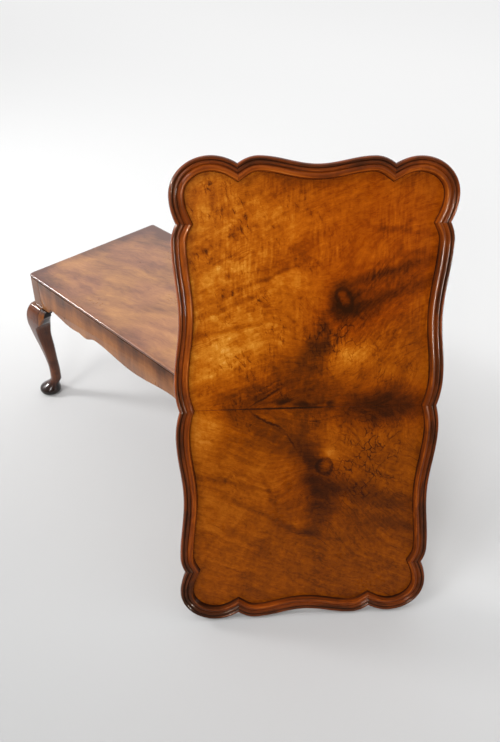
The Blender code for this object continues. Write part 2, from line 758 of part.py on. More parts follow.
def build_fillets(tray):
    """Four fillets under the board that drop around the table's top."""
    heights = (-GAP - FILLET_HEIGHT, -GAP)
    for name, sign in (("right", 1), ("left", -1)):
        near = FRAME_WIDTH / 2 + FILLET_PLAY
        across = sorted((sign * near, sign * (near + FILLET_WIDTH)))
        low = (across[0], -LONG_FILLET_LENGTH / 2, heights[0])
        high = (across[1], LONG_FILLET_LENGTH / 2, heights[1])
        piece(f"tray_fillet_{name}", box(low, high), tray, BARE_WOOD)
    for name, sign in (("upper", 1), ("lower", -1)):
        near = FRAME_LENGTH / 2 + FILLET_PLAY
        along = sorted((sign * near, sign * (near + FILLET_WIDTH)))
        low = (-SHORT_FILLET_LENGTH / 2, along[0], heights[0])
        high = (SHORT_FILLET_LENGTH / 2, along[1], heights[1])
        piece(f"tray_fillet_{name}", box(low, high), tray, BARE_WOOD)


def build_tray(root):
    """The tray in its own frame: x across, y along, z out of its face, the board's underside at zero."""
    tray = empty("tray", root)
    outline = tray_outline()
    directions = inset_directions(outline)
    line = inset_outline(outline, directions, RIM_REBATE + GAP)
    piece("tray_board", plate([(p.x, p.y) for p in line], 0.0, BOARD_THICKNESS), tray, BARE_WOOD)
    build_veneer(line, tray)
    build_rim(outline, directions, tray)
    build_fillets(tray)
    return tray


def stand_tray(tray, top):
    """Stand the tray on one end on the floor, leaning with its back on the table's near corner."""
    across = Vector((cos(TRAY_TURN), sin(TRAY_TURN), 0.0))
    backwards = Vector((-across.y, across.x, 0.0))
    up = Vector((0.0, 0.0, 1.0))
    along = up * cos(TRAY_LEAN) + backwards * sin(TRAY_LEAN)
    out = up * sin(TRAY_LEAN) - backwards * cos(TRAY_LEAN)
    corners = [vertex.co for obj in tray.children for vertex in obj.data.vertices]
    height = -min(co.y * along.z + co.z * out.z for co in corners)
    contact = max((vertex.co for vertex in top.data.vertices), key=out.dot)
    back_distance = (out.z * height - out.dot(contact) - GAP) / cos(TRAY_LEAN)
    sideways = across.dot(contact) - CORNER_ON_TRAY
    place = across * sideways + backwards * back_distance + up * height
    axes = Matrix((across, along, out)).transposed().to_4x4()
    tray.matrix_local = Matrix.Translation(place) @ axes


def centre_on_floor(root):
    """Move the whole so that its bounding box is centred on Z and stands on the floor."""
    bpy.context.view_layer.update()
    shown = [obj for obj in bpy.context.scene.objects if obj.type == "MESH" and not obj.hide_render]
    corners = [obj.matrix_world @ vertex.co for obj in shown for vertex in obj.data.vertices]
    for axis in range(2):
        values = [corner[axis] for corner in corners]
        root.location[axis] = -(min(values) + max(values)) / 2


def main():
    """Build the table and its tray, and lean the tray on the table."""
    clear_scene()
    part_collection("butler_tray_table")
    cutters, holes = cutter_collection("cutters"), cutter_collection("screw_holes")
    root = empty("butler_tray_table")
    top = build_table(root, cutters, holes)
    tray = build_tray(root)
    stand_tray(tray, top)
    centre_on_floor(root)


main()
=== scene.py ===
"""Looks of a low walnut table on cabriole legs and of its scalloped tray, which leans on the table's near corner.

Lengths are metres in the row frame. Each sub-assembly is a class that builds its pieces and dresses them.
"""

from __future__ import annotations

import logging
import math
from collections.abc import Sequence
from dataclasses import dataclass
from enum import Enum
from typing import NamedTuple, Union

import bmesh
import bpy
from mathutils import Matrix, Vector


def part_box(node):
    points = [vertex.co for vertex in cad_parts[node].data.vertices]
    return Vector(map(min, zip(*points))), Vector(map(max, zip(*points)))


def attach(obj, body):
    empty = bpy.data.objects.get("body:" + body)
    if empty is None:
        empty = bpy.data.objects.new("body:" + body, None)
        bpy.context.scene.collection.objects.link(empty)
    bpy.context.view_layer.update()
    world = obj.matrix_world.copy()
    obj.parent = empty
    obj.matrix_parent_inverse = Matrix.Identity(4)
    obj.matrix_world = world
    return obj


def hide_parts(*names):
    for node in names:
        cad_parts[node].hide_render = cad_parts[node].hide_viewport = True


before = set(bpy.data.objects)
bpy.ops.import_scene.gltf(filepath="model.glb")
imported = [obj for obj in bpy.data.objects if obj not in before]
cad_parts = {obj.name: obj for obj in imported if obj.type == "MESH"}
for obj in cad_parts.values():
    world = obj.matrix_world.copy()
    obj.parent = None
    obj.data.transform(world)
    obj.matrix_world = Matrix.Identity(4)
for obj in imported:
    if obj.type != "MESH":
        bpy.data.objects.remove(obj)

log = logging.getLogger("tray_table")

Socket = bpy.types.NodeSocket
Node = bpy.types.Node
Tree = bpy.types.NodeTree
Material = bpy.types.Material
Object = bpy.types.Object
Triple = tuple[float, float, float]
Colour = tuple[float, float, float, float]
Feed = Union[float, Triple, Colour, Socket]
Ring = Sequence[Vector]

ZERO = (0.0, 0.0, 0.0)

# Sockets of Blender's Mix node: its share and its two colours, and the mixed colour.
MIX_IN = (0, 6, 7)
MIX_OUT = 2


class Body(Enum):
    """The two loose parts of the object."""

    TABLE = "table"
    TRAY = "tray"


class Turn(Enum):
    """How a shaped line passes a point: level with it, or to a sharp notch."""

    LEVEL = "level"
    NOTCH = "notch"


class Op(Enum):
    """Sums that the finishes use."""

    ADD = "ADD"
    SUBTRACT = "SUBTRACT"
    MULTIPLY = "MULTIPLY"
    MULTIPLY_ADD = "MULTIPLY_ADD"
    ABSOLUTE = "ABSOLUTE"
    MAXIMUM = "MAXIMUM"
    MINIMUM = "MINIMUM"


class Slot(Enum):
    """The record's material slots meant for the new pieces; settle is given one but doesn't set it."""

    TOP = "polished_top"
    FRAME = "polished_frame"
    LEG = "polished_leg"
    MOULDING = "dark_moulding"


class Key(NamedTuple):
    """A point that a shaped line passes.

    Fields: place along the line, its height, how the line turns there, and how raised (1) or sunk (-1) the moulding is;
    the rim's finish paints its crests lighter, for rubbed wear and a painted highlight, and its hollows with painted
    shade.
    """

    along: float
    out: float
    turn: Turn = Turn.LEVEL
    relief: float = 0.0


def shaped_line(keys: Sequence[Key], steps: int) -> list[Triple]:
    """Run a line through keys, in waves between levels and in bows to notches.

    Args:
        keys: The points to pass, in order.
        steps: Steps between two keys.

    Returns:
        Points as (along, out, relief).
    """
    points = [(keys[0].along, keys[0].out, keys[0].relief)]
    for start, end in zip(keys, keys[1:]):
        for step in range(1, steps + 1):
            share = step / steps
            blend = (1 - math.cos(math.pi * share)) / 2
            if end.turn is Turn.NOTCH:
                blend = share**2
            elif start.turn is Turn.NOTCH:
                blend = 1 - (1 - share) ** 2
            along = start.along + (end.along - start.along) * share
            out = start.out + (end.out - start.out) * blend
            points.append((along, out, start.relief + (end.relief - start.relief) * share))
    return points


def paint(red: int, green: int, blue: int) -> Colour:
    """Turn a screen colour of 0 to 255 into a shader colour.

    Args:
        red: Red as seen on a screen.
        green: Green as seen on a screen.
        blue: Blue as seen on a screen.

    Returns:
        The linear colour, opaque.
    """
    def linear(value: int) -> float:
        """Undo the screen's curve for one channel."""
        share = value / 255
        return share / 12.92 if share <= 0.04045 else ((share + 0.055) / 1.055) ** 2.4

    return linear(red), linear(green), linear(blue), 1.0


def shades(*colours: tuple[int, int, int]) -> tuple[Colour, ...]:
    """Turn screen colours into shader colours, in the same order."""
    return tuple(paint(*colour) for colour in colours)


class Workbench:
    """Modelling moves that every sub-assembly uses."""

    @staticmethod
    def clear() -> None:
        """Leave edit mode and deselect everything."""
        if bpy.context.object and bpy.context.object.mode != "OBJECT":
            bpy.ops.object.mode_set(mode="OBJECT")
        bpy.ops.object.select_all(action="DESELECT")

    @classmethod
    def pick(cls, piece: Object) -> None:
        """Select one piece alone and make it active.

        Args:
            piece: The piece.
        """
        cls.clear()
        piece.select_set(True)
        bpy.context.view_layer.objects.active = piece

    @classmethod
    def sweep(cls, name: str, rings: Sequence[Ring], keep_marks: bool = False) -> Object:
        """Shape a flat ring and extrude it from section to section.

        Args:
            name: The piece's name.
            rings: Sections with as many points each.
            keep_marks: Whether its vertices keep their station along the rings and their place in a ring.

        Returns:
            A closed piece.
        """
        cls.clear()
        bpy.ops.mesh.primitive_circle_add(vertices=len(rings[0]), fill_type="NGON")
        piece = bpy.context.active_object
        piece.name = name
        mesh = piece.data
        mesh.name = name
        mesh.attributes.new("station", "INT", "POINT")
        mesh.attributes.new("place", "INT", "POINT")
        for number, point in enumerate(rings[0]):
            mesh.vertices[number].co = point
            mesh.attributes["place"].data[number].value = number
        bpy.ops.object.mode_set(mode="EDIT")
        bpy.ops.mesh.select_mode(type="FACE")
        bpy.ops.mesh.select_all(action="SELECT")
        for station, ring in enumerate(rings[1:], 1):
            bpy.ops.mesh.extrude_region_move()
            cls._shape_end(mesh, ring, station)
        bpy.ops.mesh.select_all(action="SELECT")
        bpy.ops.mesh.normals_make_consistent(inside=False)
        bpy.ops.object.mode_set(mode="OBJECT")
        if not keep_marks:
            cls.drop_marks(piece)
        return piece

    @staticmethod
    def _shape_end(mesh: bpy.types.Mesh, ring: Ring, station: int) -> None:
        """Move the selected end face onto a section.

        Args:
            mesh: The mesh in edit mode.
            ring: The section's points.
            station: The section's number.
        """
        shape = bmesh.from_edit_mesh(mesh)
        place = shape.verts.layers.int["place"]
        number = shape.verts.layers.int["station"]
        end = next(face for face in shape.faces if face.select)
        for vertex in end.verts:
            vertex.co = ring[vertex[place]]
            vertex[number] = station
        bmesh.update_edit_mesh(mesh)

    @classmethod
    def soften(cls, piece: Object, width: float, lowest_turn: float) -> None:
        """Bevel every edge that turns by more than an angle, in two facets.

        Args:
            piece: The piece.
            width: The bevel's width.
            lowest_turn: The least turn of a bevelled edge, in degrees.
        """
        cls.pick(piece)
        bpy.ops.object.mode_set(mode="EDIT")
        bpy.ops.mesh.select_mode(type="EDGE")
        bpy.ops.mesh.select_all(action="DESELECT")
        bpy.ops.mesh.edges_select_sharp(sharpness=math.radians(lowest_turn))
        bpy.ops.mesh.bevel(offset=width, segments=2, affect="EDGES")
        bpy.ops.object.mode_set(mode="OBJECT")

    @classmethod
    def twin(cls, piece: Object, name: str, move: Matrix) -> Object:
        """Copy a piece with its own mesh.

        Args:
            piece: The piece to copy.
            name: The copy's name.
            move: Where the copy goes, from where the piece is.

        Returns:
            The copy.
        """
        cls.pick(piece)
        bpy.ops.object.duplicate()
        copy = bpy.context.active_object
        copy.name = name
        copy.data.name = name
        cls.shift(copy, move)
        return copy

    @staticmethod
    def shift(piece: Object, move: Matrix) -> None:
        """Move a piece's mesh, and turn its faces out again after a mirror.

        Args:
            piece: The piece.
            move: Where it goes, from where it is.
        """
        piece.data.transform(move)
        if move.determinant() < 0:
            piece.data.flip_normals()

    @classmethod
    def smooth(cls, piece: Object, angle: float = 38.0) -> None:
        """Shade a piece smooth across edges that turn less than an angle in degrees."""
        cls.pick(piece)
        bpy.ops.object.shade_smooth_by_angle(angle=math.radians(angle))

    @staticmethod
    def drop_marks(piece: Object) -> None:
        """Take a piece's station and place marks away."""
        for mark in ("station", "place"):
            piece.data.attributes.remove(piece.data.attributes[mark])

    @staticmethod
    def settle(piece: Object, body: Body, slot: Slot, material: Material) -> None:
        """Dress a finished piece and let it ride, in place of the node that has its name without the prefix.

        Args:
            piece: The finished piece, named shown_ and its node's name.
            body: The body that it rides on.
            slot: The record's slot for its finish; not used.
            material: Its finish.
        """
        piece.data.materials.clear()
        piece.data.materials.append(material)
        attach(piece, body.value)
        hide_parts(piece.name.removeprefix("shown_"))
        log.info("%s rides on the %s in %s", piece.name, body.value, material.name)

    @staticmethod
    def dress_node(name: str, material: Material) -> None:
        """Give a node that stays its finish.

        Args:
            name: The node's name.
            material: Its finish.
        """
        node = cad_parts[name]
        node.data.materials.clear()
        node.data.materials.append(material)
        log.info("%s stays, in %s", name, material.name)


class Stroke(NamedTuple):
    """A soft oval in the wood: its middle, half length, half width, turn in degrees and depth of tone."""

    x: float
    y: float
    length: float
    width: float
    turn: float
    depth: float


class Board:
    """Adds shader nodes to one tree and joins them."""

    def __init__(self, tree: Tree) -> None:
        """Hold the tree to build in."""
        self.tree = tree

    def node(self, kind: str, *feeds: Feed, **settings: object) -> Node:
        """Add a node.

        Args:
            kind: Blender's name for the node.
            feeds: What goes into its first inputs, in order.
            settings: Its own settings.

        Returns:
            The node.
        """
        made = self.tree.nodes.new(kind)
        for key, value in settings.items():
            setattr(made, key, value)
        for socket, value in zip(made.inputs, feeds):
            self.feed(socket, value)
        return made

    def feed(self, socket: Socket, value: Feed) -> None:
        """Join a socket to another, or set its value.

        Args:
            socket: The socket.
            value: What goes in.
        """
        if isinstance(value, Socket):
            self.tree.links.new(value, socket)
        else:
            socket.default_value = value

    def fill(self, node: Node, **values: Feed) -> Node:
        """Feed a node's inputs by name.

        Args:
            node: The node.
            values: What goes in, with the spaces of an input's name written as low lines.

        Returns:
            The node.
        """
        for key, value in values.items():
            self.feed(node.inputs[key.replace("_", " ")], value)
        return node

    def sum(self, op: Op, *values: Feed) -> Socket:
        """Work out a sum of values."""
        return self.node("ShaderNodeMath", *values, operation=op.value).outputs[0]

    def add(self, total: Feed, *values: Feed) -> Feed:
        """Add values up, one after the other.

        Args:
            total: What to start from.
            values: What to add.

        Returns:
            The total.
        """
        for value in values:
            total = self.sum(Op.ADD, total, value)
        return total

    def vector(self, operation: str, *values: Feed) -> Node:
        """Add a node that works with places."""
        return self.node("ShaderNodeVectorMath", *values, operation=operation)

    def stretch(self, place: Feed, by: Triple) -> Socket:
        """Multiply a place by a vector, part by part."""
        return self.vector("MULTIPLY", place, by).outputs[0]

    def facing(self, way: Feed, front: Triple) -> Socket:
        """How far a place or a way lies to the front."""
        return self.vector("DOT_PRODUCT", way, front).outputs["Value"]

    def apart(self, place: Feed) -> tuple[Socket, ...]:
        """Split a place into its X, Y and Z."""
        return tuple(self.node("ShaderNodeSeparateXYZ", place).outputs)

    def join(self, *parts: Feed) -> Socket:
        """Make a place from its X, Y and Z."""
        return self.node("ShaderNodeCombineXYZ", *parts).outputs[0]

    def noise(self, place: Feed, scale: Feed, detail: float = 3.0, rough: float = 0.5, out: str = "Fac") -> Socket:
        """Read a cloud of noise.

        Args:
            place: Where it is read.
            scale: Its clouds in a metre.
            detail: Its octaves.
            rough: How strong the finer octaves are.
            out: Blender's name for the output: Fac for one value, Color for three.

        Returns:
            The noise, of 0 to 1.
        """
        made = self.node("ShaderNodeTexNoise")
        return self.fill(made, Vector=place, Scale=scale, Detail=detail, Roughness=rough).outputs[out]

    def cloud(self, place: Feed, scale: Feed, depth: Feed, detail: float = 3.0, rough: float = 0.5) -> Socket:
        """Noise about zero.

        Args:
            place: Where it is read.
            scale: Its clouds in a metre.
            depth: How far it swings.
            detail: Its octaves.
            rough: How strong the finer octaves are.

        Returns:
            The value, half of depth either way at most.
        """
        raw = self.noise(place, scale, detail, rough)
        return self.sum(Op.MULTIPLY, self.sum(Op.SUBTRACT, raw, 0.5), depth)

    def spread(self, value: Feed, low: float, high: float, to_low: Feed = 0.0, to_high: Feed = 1.0) -> Socket:
        """Map a value smoothly from one range to another.

        Args:
            value: The value.
            low: Where the range starts.
            high: Where the range ends.
            to_low: The result at and before the start.
            to_high: The result at and past the end.

        Returns:
            The mapped value.
        """
        ends = (low, high, to_low, to_high)
        return self.node("ShaderNodeMapRange", value, *ends, interpolation_type="SMOOTHSTEP").outputs[0]

    def warp(self, place: Feed, scale: float, reach: Feed) -> Socket:
        """Push a place about by noise.

        Args:
            place: The place.
            scale: The noise's clouds in a metre.
            reach: How far it pushes, at most.

        Returns:
            The pushed place.
        """
        centred = self.vector("SUBTRACT", self.noise(place, scale, 2.0, out="Color"), (0.5, 0.5, 0.5))
        push = self.fill(self.vector("SCALE", centred.outputs[0]), Scale=reach)
        return self.vector("ADD", place, push.outputs[0]).outputs[0]

    def into(self, place: Feed, origin: Triple, turn: Triple, size: Triple = (1.0, 1.0, 1.0)) -> Socket:
        """Read a place from another frame.

        Args:
            place: The place.
            origin: The frame's origin.
            turn: The frame's turns about X, Y and Z.
            size: The frame's unit along each axis.

        Returns:
            The place in that frame.
        """
        made = self.node("ShaderNodeMapping", vector_type="TEXTURE")
        return self.fill(made, Vector=place, Location=origin, Rotation=turn, Scale=size).outputs[0]

    def turned(self, place: Feed, degrees: float) -> Socket:
        """Read a place from a frame that is turned about Z."""
        return self.into(place, ZERO, (0.0, 0.0, math.radians(degrees)))

    def _over(self, place: Feed, stroke: Stroke) -> Socket:
        """Read a place from a stroke's own frame, in which its outline is a circle of radius 1."""
        turn = (0.0, 0.0, math.radians(stroke.turn))
        return self.into(place, (stroke.x, stroke.y, 0.0), turn, (stroke.length, stroke.width, 1.0))

    def oval(self, place: Feed, stroke: Stroke) -> Socket:
        """A soft oval: its depth in the middle, nothing outside."""
        fade = self.node("ShaderNodeTexGradient", self._over(place, stroke), gradient_type="SPHERICAL")
        return self.spread(fade.outputs["Fac"], 0.0, 1.0, 0.0, stroke.depth)

    def ovals(self, place: Feed, *strokes: Stroke) -> list[Socket]:
        """A soft oval for each stroke."""
        return [self.oval(place, stroke) for stroke in strokes]

    def ring(self, place: Feed, stroke: Stroke, thickness: float) -> Socket:
        """A soft oval line.

        Args:
            place: Where it is read.
            stroke: The oval.
            thickness: Half the line's width, as a share of the oval's size.

        Returns:
            The value, the stroke's depth on the line and 0 away from it.
        """
        reach = self.vector("LENGTH", self._over(place, stroke)).outputs["Value"]
        off = self.sum(Op.ABSOLUTE, self.sum(Op.SUBTRACT, reach, 1.0))
        return self.spread(off, 0.0, thickness, stroke.depth, 0.0)

    def net(self, place: Feed, scale: float, width: float) -> Socket:
        """A net of soft lines.

        Args:
            place: Where it is read, in X and Y.
            scale: Its meshes in a metre.
            width: Half a line's width, as a share of a mesh.

        Returns:
            The value, 1 on a line and 0 inside a mesh.
        """
        made = self.node("ShaderNodeTexVoronoi", voronoi_dimensions="2D", feature="DISTANCE_TO_EDGE")
        self.fill(made, Vector=place, Scale=scale)
        return self.spread(made.outputs["Distance"], 0.0, width, 1.0, 0.0)

    def ramp(self, value: Feed, stops: Sequence[tuple[float, Colour]]) -> Socket:
        """Turn a value of 0 to 1 into a colour.

        Args:
            value: The value.
            stops: Places and colours, in order.

        Returns:
            The colour.
        """
        made = self.node("ShaderNodeValToRGB", value)
        elements = made.color_ramp.elements
        while len(elements) < len(stops):
            elements.new(1.0)
        for element, (at, colour) in zip(elements, stops):
            element.position = at
            element.color = colour
        return made.outputs["Color"]

    def blend(self, share: Feed, first: Feed, second: Feed, mode: str = "MIX") -> Socket:
        """Mix two colours.

        Args:
            share: How much of the second.
            first: The first colour.
            second: The second colour.
            mode: Blender's name for the way of mixing.

        Returns:
            The mixed colour.
        """
        made = self.node("ShaderNodeMix", data_type="RGBA", blend_type=mode)
        for number, value in zip(MIX_IN, (share, first, second)):
            self.feed(made.inputs[number], value)
        return made.outputs[MIX_OUT]

    def stain(self, share: Feed, colour: Feed, by: Colour) -> Socket:
        """Multiply a colour by another where a share says."""
        return self.blend(share, colour, by, "MULTIPLY")

    def bump(self, height: Feed, distance: float, strength: float, under: Feed | None = None) -> Socket:
        """Turn a height into a bumped normal.

        Args:
            height: The height, of 0 to 1.
            distance: How far a height of 1 stands up.
            strength: How much of it shows.
            under: A normal to bump further.

        Returns:
            The normal.
        """
        made = self.fill(self.node("ShaderNodeBump"), Strength=strength, Distance=distance, Height=height)
        if under is not None:
            self.fill(made, Normal=under)
        return made.outputs[0]

    def mark(self, name: str) -> Socket:
        """Read a piece's own mark."""
        return self.node("ShaderNodeAttribute", attribute_name=name).outputs["Fac"]

    def place(self) -> Socket:
        """Read a piece's own place in the row frame."""
        return self.node("ShaderNodeTexCoord").outputs["Object"]

    def group(self, tree: Tree, **values: Feed) -> bpy.types.NodeOutputs:
        """Place a group with its inputs by name, and give what comes out of it."""
        return self.fill(self.node("ShaderNodeGroup", node_tree=tree), **values).outputs


@dataclass
class Effects:
    """Effects that several finishes share, as node groups. All numbers but the last are clouds in a metre."""

    bends: float = 5.0
    fine_streaks: float = 330.0
    fibres: float = 900.0
    pores: float = 1300.0
    smears: float = 9.0
    specks: float = 160.0
    ripples: float = 11.0
    dirt: float = 24.0
    dents: float = 210.0
    least_roughness: float = 0.05

    def __post_init__(self) -> None:
        """Build each group once."""
        self.grain = self._grain()
        self.polish = self._polish()
        self.grime = self._grime()

    @staticmethod
    def _start(
        name: str, values: Sequence[str], results: Sequence[str]
    ) -> tuple[Board, bpy.types.NodeOutputs, Node]:
        """Start a group that reads a place.

        Args:
            name: The group's name.
            values: Names of the numbers that it reads too.
            results: Names of the numbers that it gives.

        Returns:
            A board on the group, what goes into it and its output node.
        """
        tree = bpy.data.node_groups.new(name, "ShaderNodeTree")
        tree.interface.new_socket(name="Place", in_out="INPUT", socket_type="NodeSocketVector")
        for way, keys in (("INPUT", values), ("OUTPUT", results)):
            for key in keys:
                tree.interface.new_socket(name=key, in_out=way, socket_type="NodeSocketFloat")
        board = Board(tree)
        return board, board.node("NodeGroupInput").outputs, board.node("NodeGroupOutput")

    def _grain(self) -> Tree:
        """Straight walnut grain along X, with streaks, fibres and pores.

        Returns:
            The group.
        """
        board, given, made = self._start("walnut_grain", ("Waviness", "Streaks"), ("Tone", "Fibre", "Pores"))
        place = board.warp(given["Place"], self.bends, given["Waviness"])
        broad = board.cloud(board.stretch(place, (0.06, 1.0, 1.0)), given["Streaks"], 1.0, 4.0, 0.6)
        fine = board.cloud(board.stretch(place, (0.03, 1.0, 1.0)), self.fine_streaks, 0.5, 2.0, 0.6)
        fibre = board.noise(board.stretch(place, (0.025, 1.0, 1.0)), self.fibres, 2.0)
        pore = board.noise(board.stretch(place, (0.05, 1.0, 1.0)), self.pores, 1.0)
        board.fill(made, Tone=board.add(broad, fine), Fibre=fibre, Pores=board.spread(pore, 0.60, 0.74))
        return board.tree

    def _polish(self) -> Tree:
        """Old polish: smears in its gloss, and a slow ripple.

        Returns:
            The group.
        """
        board, given, made = self._start("french_polish", ("Roughness", "Smear"), ("Roughness", "Ripple"))
        smear = board.cloud(given["Place"], self.smears, given["Smear"], 4.0, 0.6)
        faint = board.sum(Op.MULTIPLY, given["Smear"], 0.5)
        speck = board.cloud(board.stretch(given["Place"], (1.0, 1.0, 0.35)), self.specks, faint)
        rough = board.sum(Op.MAXIMUM, board.add(given["Roughness"], smear, speck), self.least_roughness)
        board.fill(made, Roughness=rough, Ripple=board.noise(given["Place"], self.ripples, 2.0))
        return board.tree

    def _grime(self) -> Tree:
        """Grime and knocks: a mask of small dark dents and cloudy dirt.

        Returns:
            The group.
        """
        board, given, made = self._start("grime", ("Amount",), ("Dirt",))
        cloudy = board.spread(board.noise(given["Place"], self.dirt, 5.0, 0.65), 0.48, 0.78)
        dents = board.spread(board.noise(given["Place"], self.dents, 2.0), 0.68, 0.76)
        board.fill(made, Dirt=board.sum(Op.MULTIPLY, board.add(cloudy, dents), given["Amount"]))
        return board.tree


def new_material(name: str) -> tuple[Material, Board, Node]:
    """Start a material.

    Args:
        name: The finish's name.

    Returns:
        The material, a board on its tree and its Principled shader.
    """
    material = bpy.data.materials.new(name)
    material.use_nodes = True
    board = Board(material.node_tree)
    return material, board, material.node_tree.nodes["Principled BSDF"]


@dataclass(frozen=True)
class BurrVeneer:
    """Figured walnut veneer on the tray: honey wood with smoke, knots and curl, book-matched about the seam."""

    origin: Triple
    turn: Triple
    ground: float = 0.487
    grain_turn: float = 24.0
    curl_turn: float = -68.0
    wave_turn: float = 58.0
    waviness: float = 0.02
    streaks: float = 60.0
    pore_depth: float = 0.10
    fibre_height: float = 0.00012
    fibre_strength: float = 0.30
    ripple_height: float = 0.0009
    ripple: float = 0.35
    red: Colour = (1.0, 0.80, 0.45, 1.0)
    brown: Colour = (0.90, 0.97, 1.70, 1.0)
    gleam: Colour = (1.0, 0.66, 0.36, 1.0)
    roughness: float = 0.30
    smear: float = 0.16
    shine: float = 0.09
    coat: float = 0.04
    coat_roughness: float = 0.08

    @staticmethod
    def _stains() -> list[Stroke]:
        """Stains of both leaves, and painted light: a lighter upper left, a darker lower right and a painted sheen on
        the left.

        Returns:
            Strokes in the tray's own frame.
        """
        # Partly the wood's own tone and partly painted light: the upper left is painted lighter and the lower right
        # darker for how the light falls, and the patch at (-0.21, -0.04) is a painted sheen.
        broad = [
            Stroke(-0.130, 0.250, 0.300, 0.340, 0, 0.16), Stroke(-0.200, 0.110, 0.160, 0.140, 0, 0.15),
            Stroke(-0.200, 0.420, 0.140, 0.140, 0, 0.07), Stroke(0.100, 0.360, 0.280, 0.220, 0, 0.04),
            Stroke(0.076, 0.102, 0.074, 0.042, 10, 0.26), Stroke(-0.150, -0.200, 0.300, 0.300, 0, 0.04),
            Stroke(-0.210, -0.040, 0.056, 0.100, 0, 0.22), Stroke(0.000, -0.400, 0.500, 0.260, 0, -0.10),
            Stroke(0.180, -0.250, 0.220, 0.300, 0, -0.07), Stroke(0.150, -0.090, 0.180, 0.100, 0, -0.03),
        ]
        upper = [
            Stroke(-0.100, 0.045, 0.200, 0.085, 20, -0.15), Stroke(-0.030, 0.090, 0.120, 0.070, 30, -0.11),
            Stroke(-0.060, 0.020, 0.240, 0.060, 0, -0.10), Stroke(0.020, 0.050, 0.080, 0.120, 0, -0.10),
            Stroke(0.008, 0.124, 0.056, 0.056, 0, -0.18), Stroke(0.066, 0.212, 0.120, 0.096, 20, -0.15),
            Stroke(0.070, 0.188, 0.110, 0.050, 15, -0.07), Stroke(0.160, 0.240, 0.190, 0.056, 18, -0.09),
            Stroke(0.150, 0.273, 0.180, 0.018, 17, -0.20), Stroke(0.155, 0.228, 0.170, 0.018, 22, -0.13),
            Stroke(0.170, 0.300, 0.160, 0.012, 12, -0.11), Stroke(0.170, 0.345, 0.120, 0.012, -6, -0.15),
            Stroke(-0.040, 0.430, 0.120, 0.036, 0, -0.14), Stroke(-0.170, 0.400, 0.050, 0.050, 0, -0.08),
            Stroke(-0.170, 0.335, 0.080, 0.030, 10, -0.10), Stroke(-0.050, 0.300, 0.130, 0.030, 30, -0.10),
            Stroke(0.000, 0.290, 0.060, 0.070, 0, -0.06), Stroke(-0.160, 0.207, 0.120, 0.009, 22, -0.17),
            Stroke(-0.150, 0.163, 0.110, 0.010, 14, -0.15), Stroke(-0.110, 0.250, 0.150, 0.008, 24, -0.19),
            Stroke(-0.224, 0.140, 0.050, 0.020, 35, -0.17),
        ]
        seam = [
            Stroke(0.150, -0.010, 0.160, 0.064, 0, -0.23), Stroke(0.190, 0.000, 0.110, 0.056, 0, -0.13),
            Stroke(0.100, -0.010, 0.100, 0.046, 0, -0.08), Stroke(0.150, 0.024, 0.100, 0.046, 0, -0.10),
            Stroke(0.002, -0.050, 0.056, 0.150, 0, -0.18),
        ]
        lower = [
            Stroke(-0.090, -0.040, 0.170, 0.076, -25, -0.13), Stroke(-0.040, -0.075, 0.110, 0.050, -35, -0.11),
            Stroke(-0.100, -0.110, 0.170, 0.050, -18, -0.04), Stroke(0.008, -0.125, 0.044, 0.066, 0, -0.14),
            Stroke(0.040, -0.168, 0.100, 0.042, -8, -0.14), Stroke(0.042, -0.196, 0.060, 0.060, 0, -0.10),
            Stroke(0.026, -0.244, 0.048, 0.126, -4, -0.23), Stroke(-0.020, -0.215, 0.060, 0.080, 0, -0.08),
            Stroke(0.046, -0.100, 0.032, 0.026, 0, 0.16), Stroke(0.130, -0.200, 0.170, 0.040, -14, -0.14),
            Stroke(0.200, -0.222, 0.120, 0.030, -12, -0.06), Stroke(0.130, -0.246, 0.200, 0.022, -13, -0.08),
            Stroke(0.190, -0.276, 0.150, 0.018, -8, -0.09), Stroke(-0.120, -0.220, 0.170, 0.013, -28, -0.15),
            Stroke(-0.030, -0.270, 0.140, 0.013, -18, -0.12), Stroke(-0.160, -0.160, 0.140, 0.013, -14, -0.12),
            Stroke(-0.080, -0.180, 0.060, 0.009, -70, -0.14), Stroke(-0.140, -0.285, 0.130, 0.018, -30, -0.08),
        ]
        return broad + upper + seam + lower

    @staticmethod
    def _red_places() -> list[Stroke]:
        """Where the wood is redder.

        Returns:
            Strokes in the tray's own frame.
        """
        return [
            Stroke(0.120, 0.330, 0.360, 0.300, 0, 1.1), Stroke(0.090, 0.190, 0.140, 0.070, 15, 0.8),
            Stroke(0.150, 0.000, 0.200, 0.080, 0, 0.8), Stroke(-0.080, 0.035, 0.180, 0.070, 10, 0.4),
            Stroke(0.010, -0.170, 0.160, 0.160, 0, 0.5),
        ]

    @staticmethod
    def _spots() -> list[Stroke]:
        """The knots' dark and light spots.

        Returns:
            Strokes in the tray's own frame.
        """
        return [
            Stroke(0.058, 0.214, 0.046, 0.060, 24, -0.22), Stroke(0.042, 0.208, 0.020, 0.036, 10, -0.16),
            Stroke(0.078, 0.194, 0.034, 0.020, -10, -0.05), Stroke(0.060, 0.218, 0.016, 0.025, 24, 0.26),
            Stroke(0.024, 0.166, 0.014, 0.022, 20, -0.20), Stroke(0.052, 0.145, 0.012, 0.026, -15, -0.18),
            Stroke(0.010, 0.126, 0.036, 0.034, 0, -0.12), Stroke(0.036, 0.120, 0.030, 0.016, -20, -0.12),
            Stroke(0.008, -0.130, 0.026, 0.048, 0, -0.15), Stroke(0.012, -0.162, 0.034, 0.018, -10, -0.12),
            Stroke(0.035, -0.130, 0.030, 0.032, 0, -0.14), Stroke(0.035, -0.130, 0.012, 0.013, 0, 0.10),
            Stroke(-0.048, 0.015, 0.034, 0.011, 4, -0.34), Stroke(-0.014, 0.007, 0.030, 0.008, 0, -0.22),
            Stroke(0.042, 0.006, 0.012, 0.010, 90, -0.16),
        ]

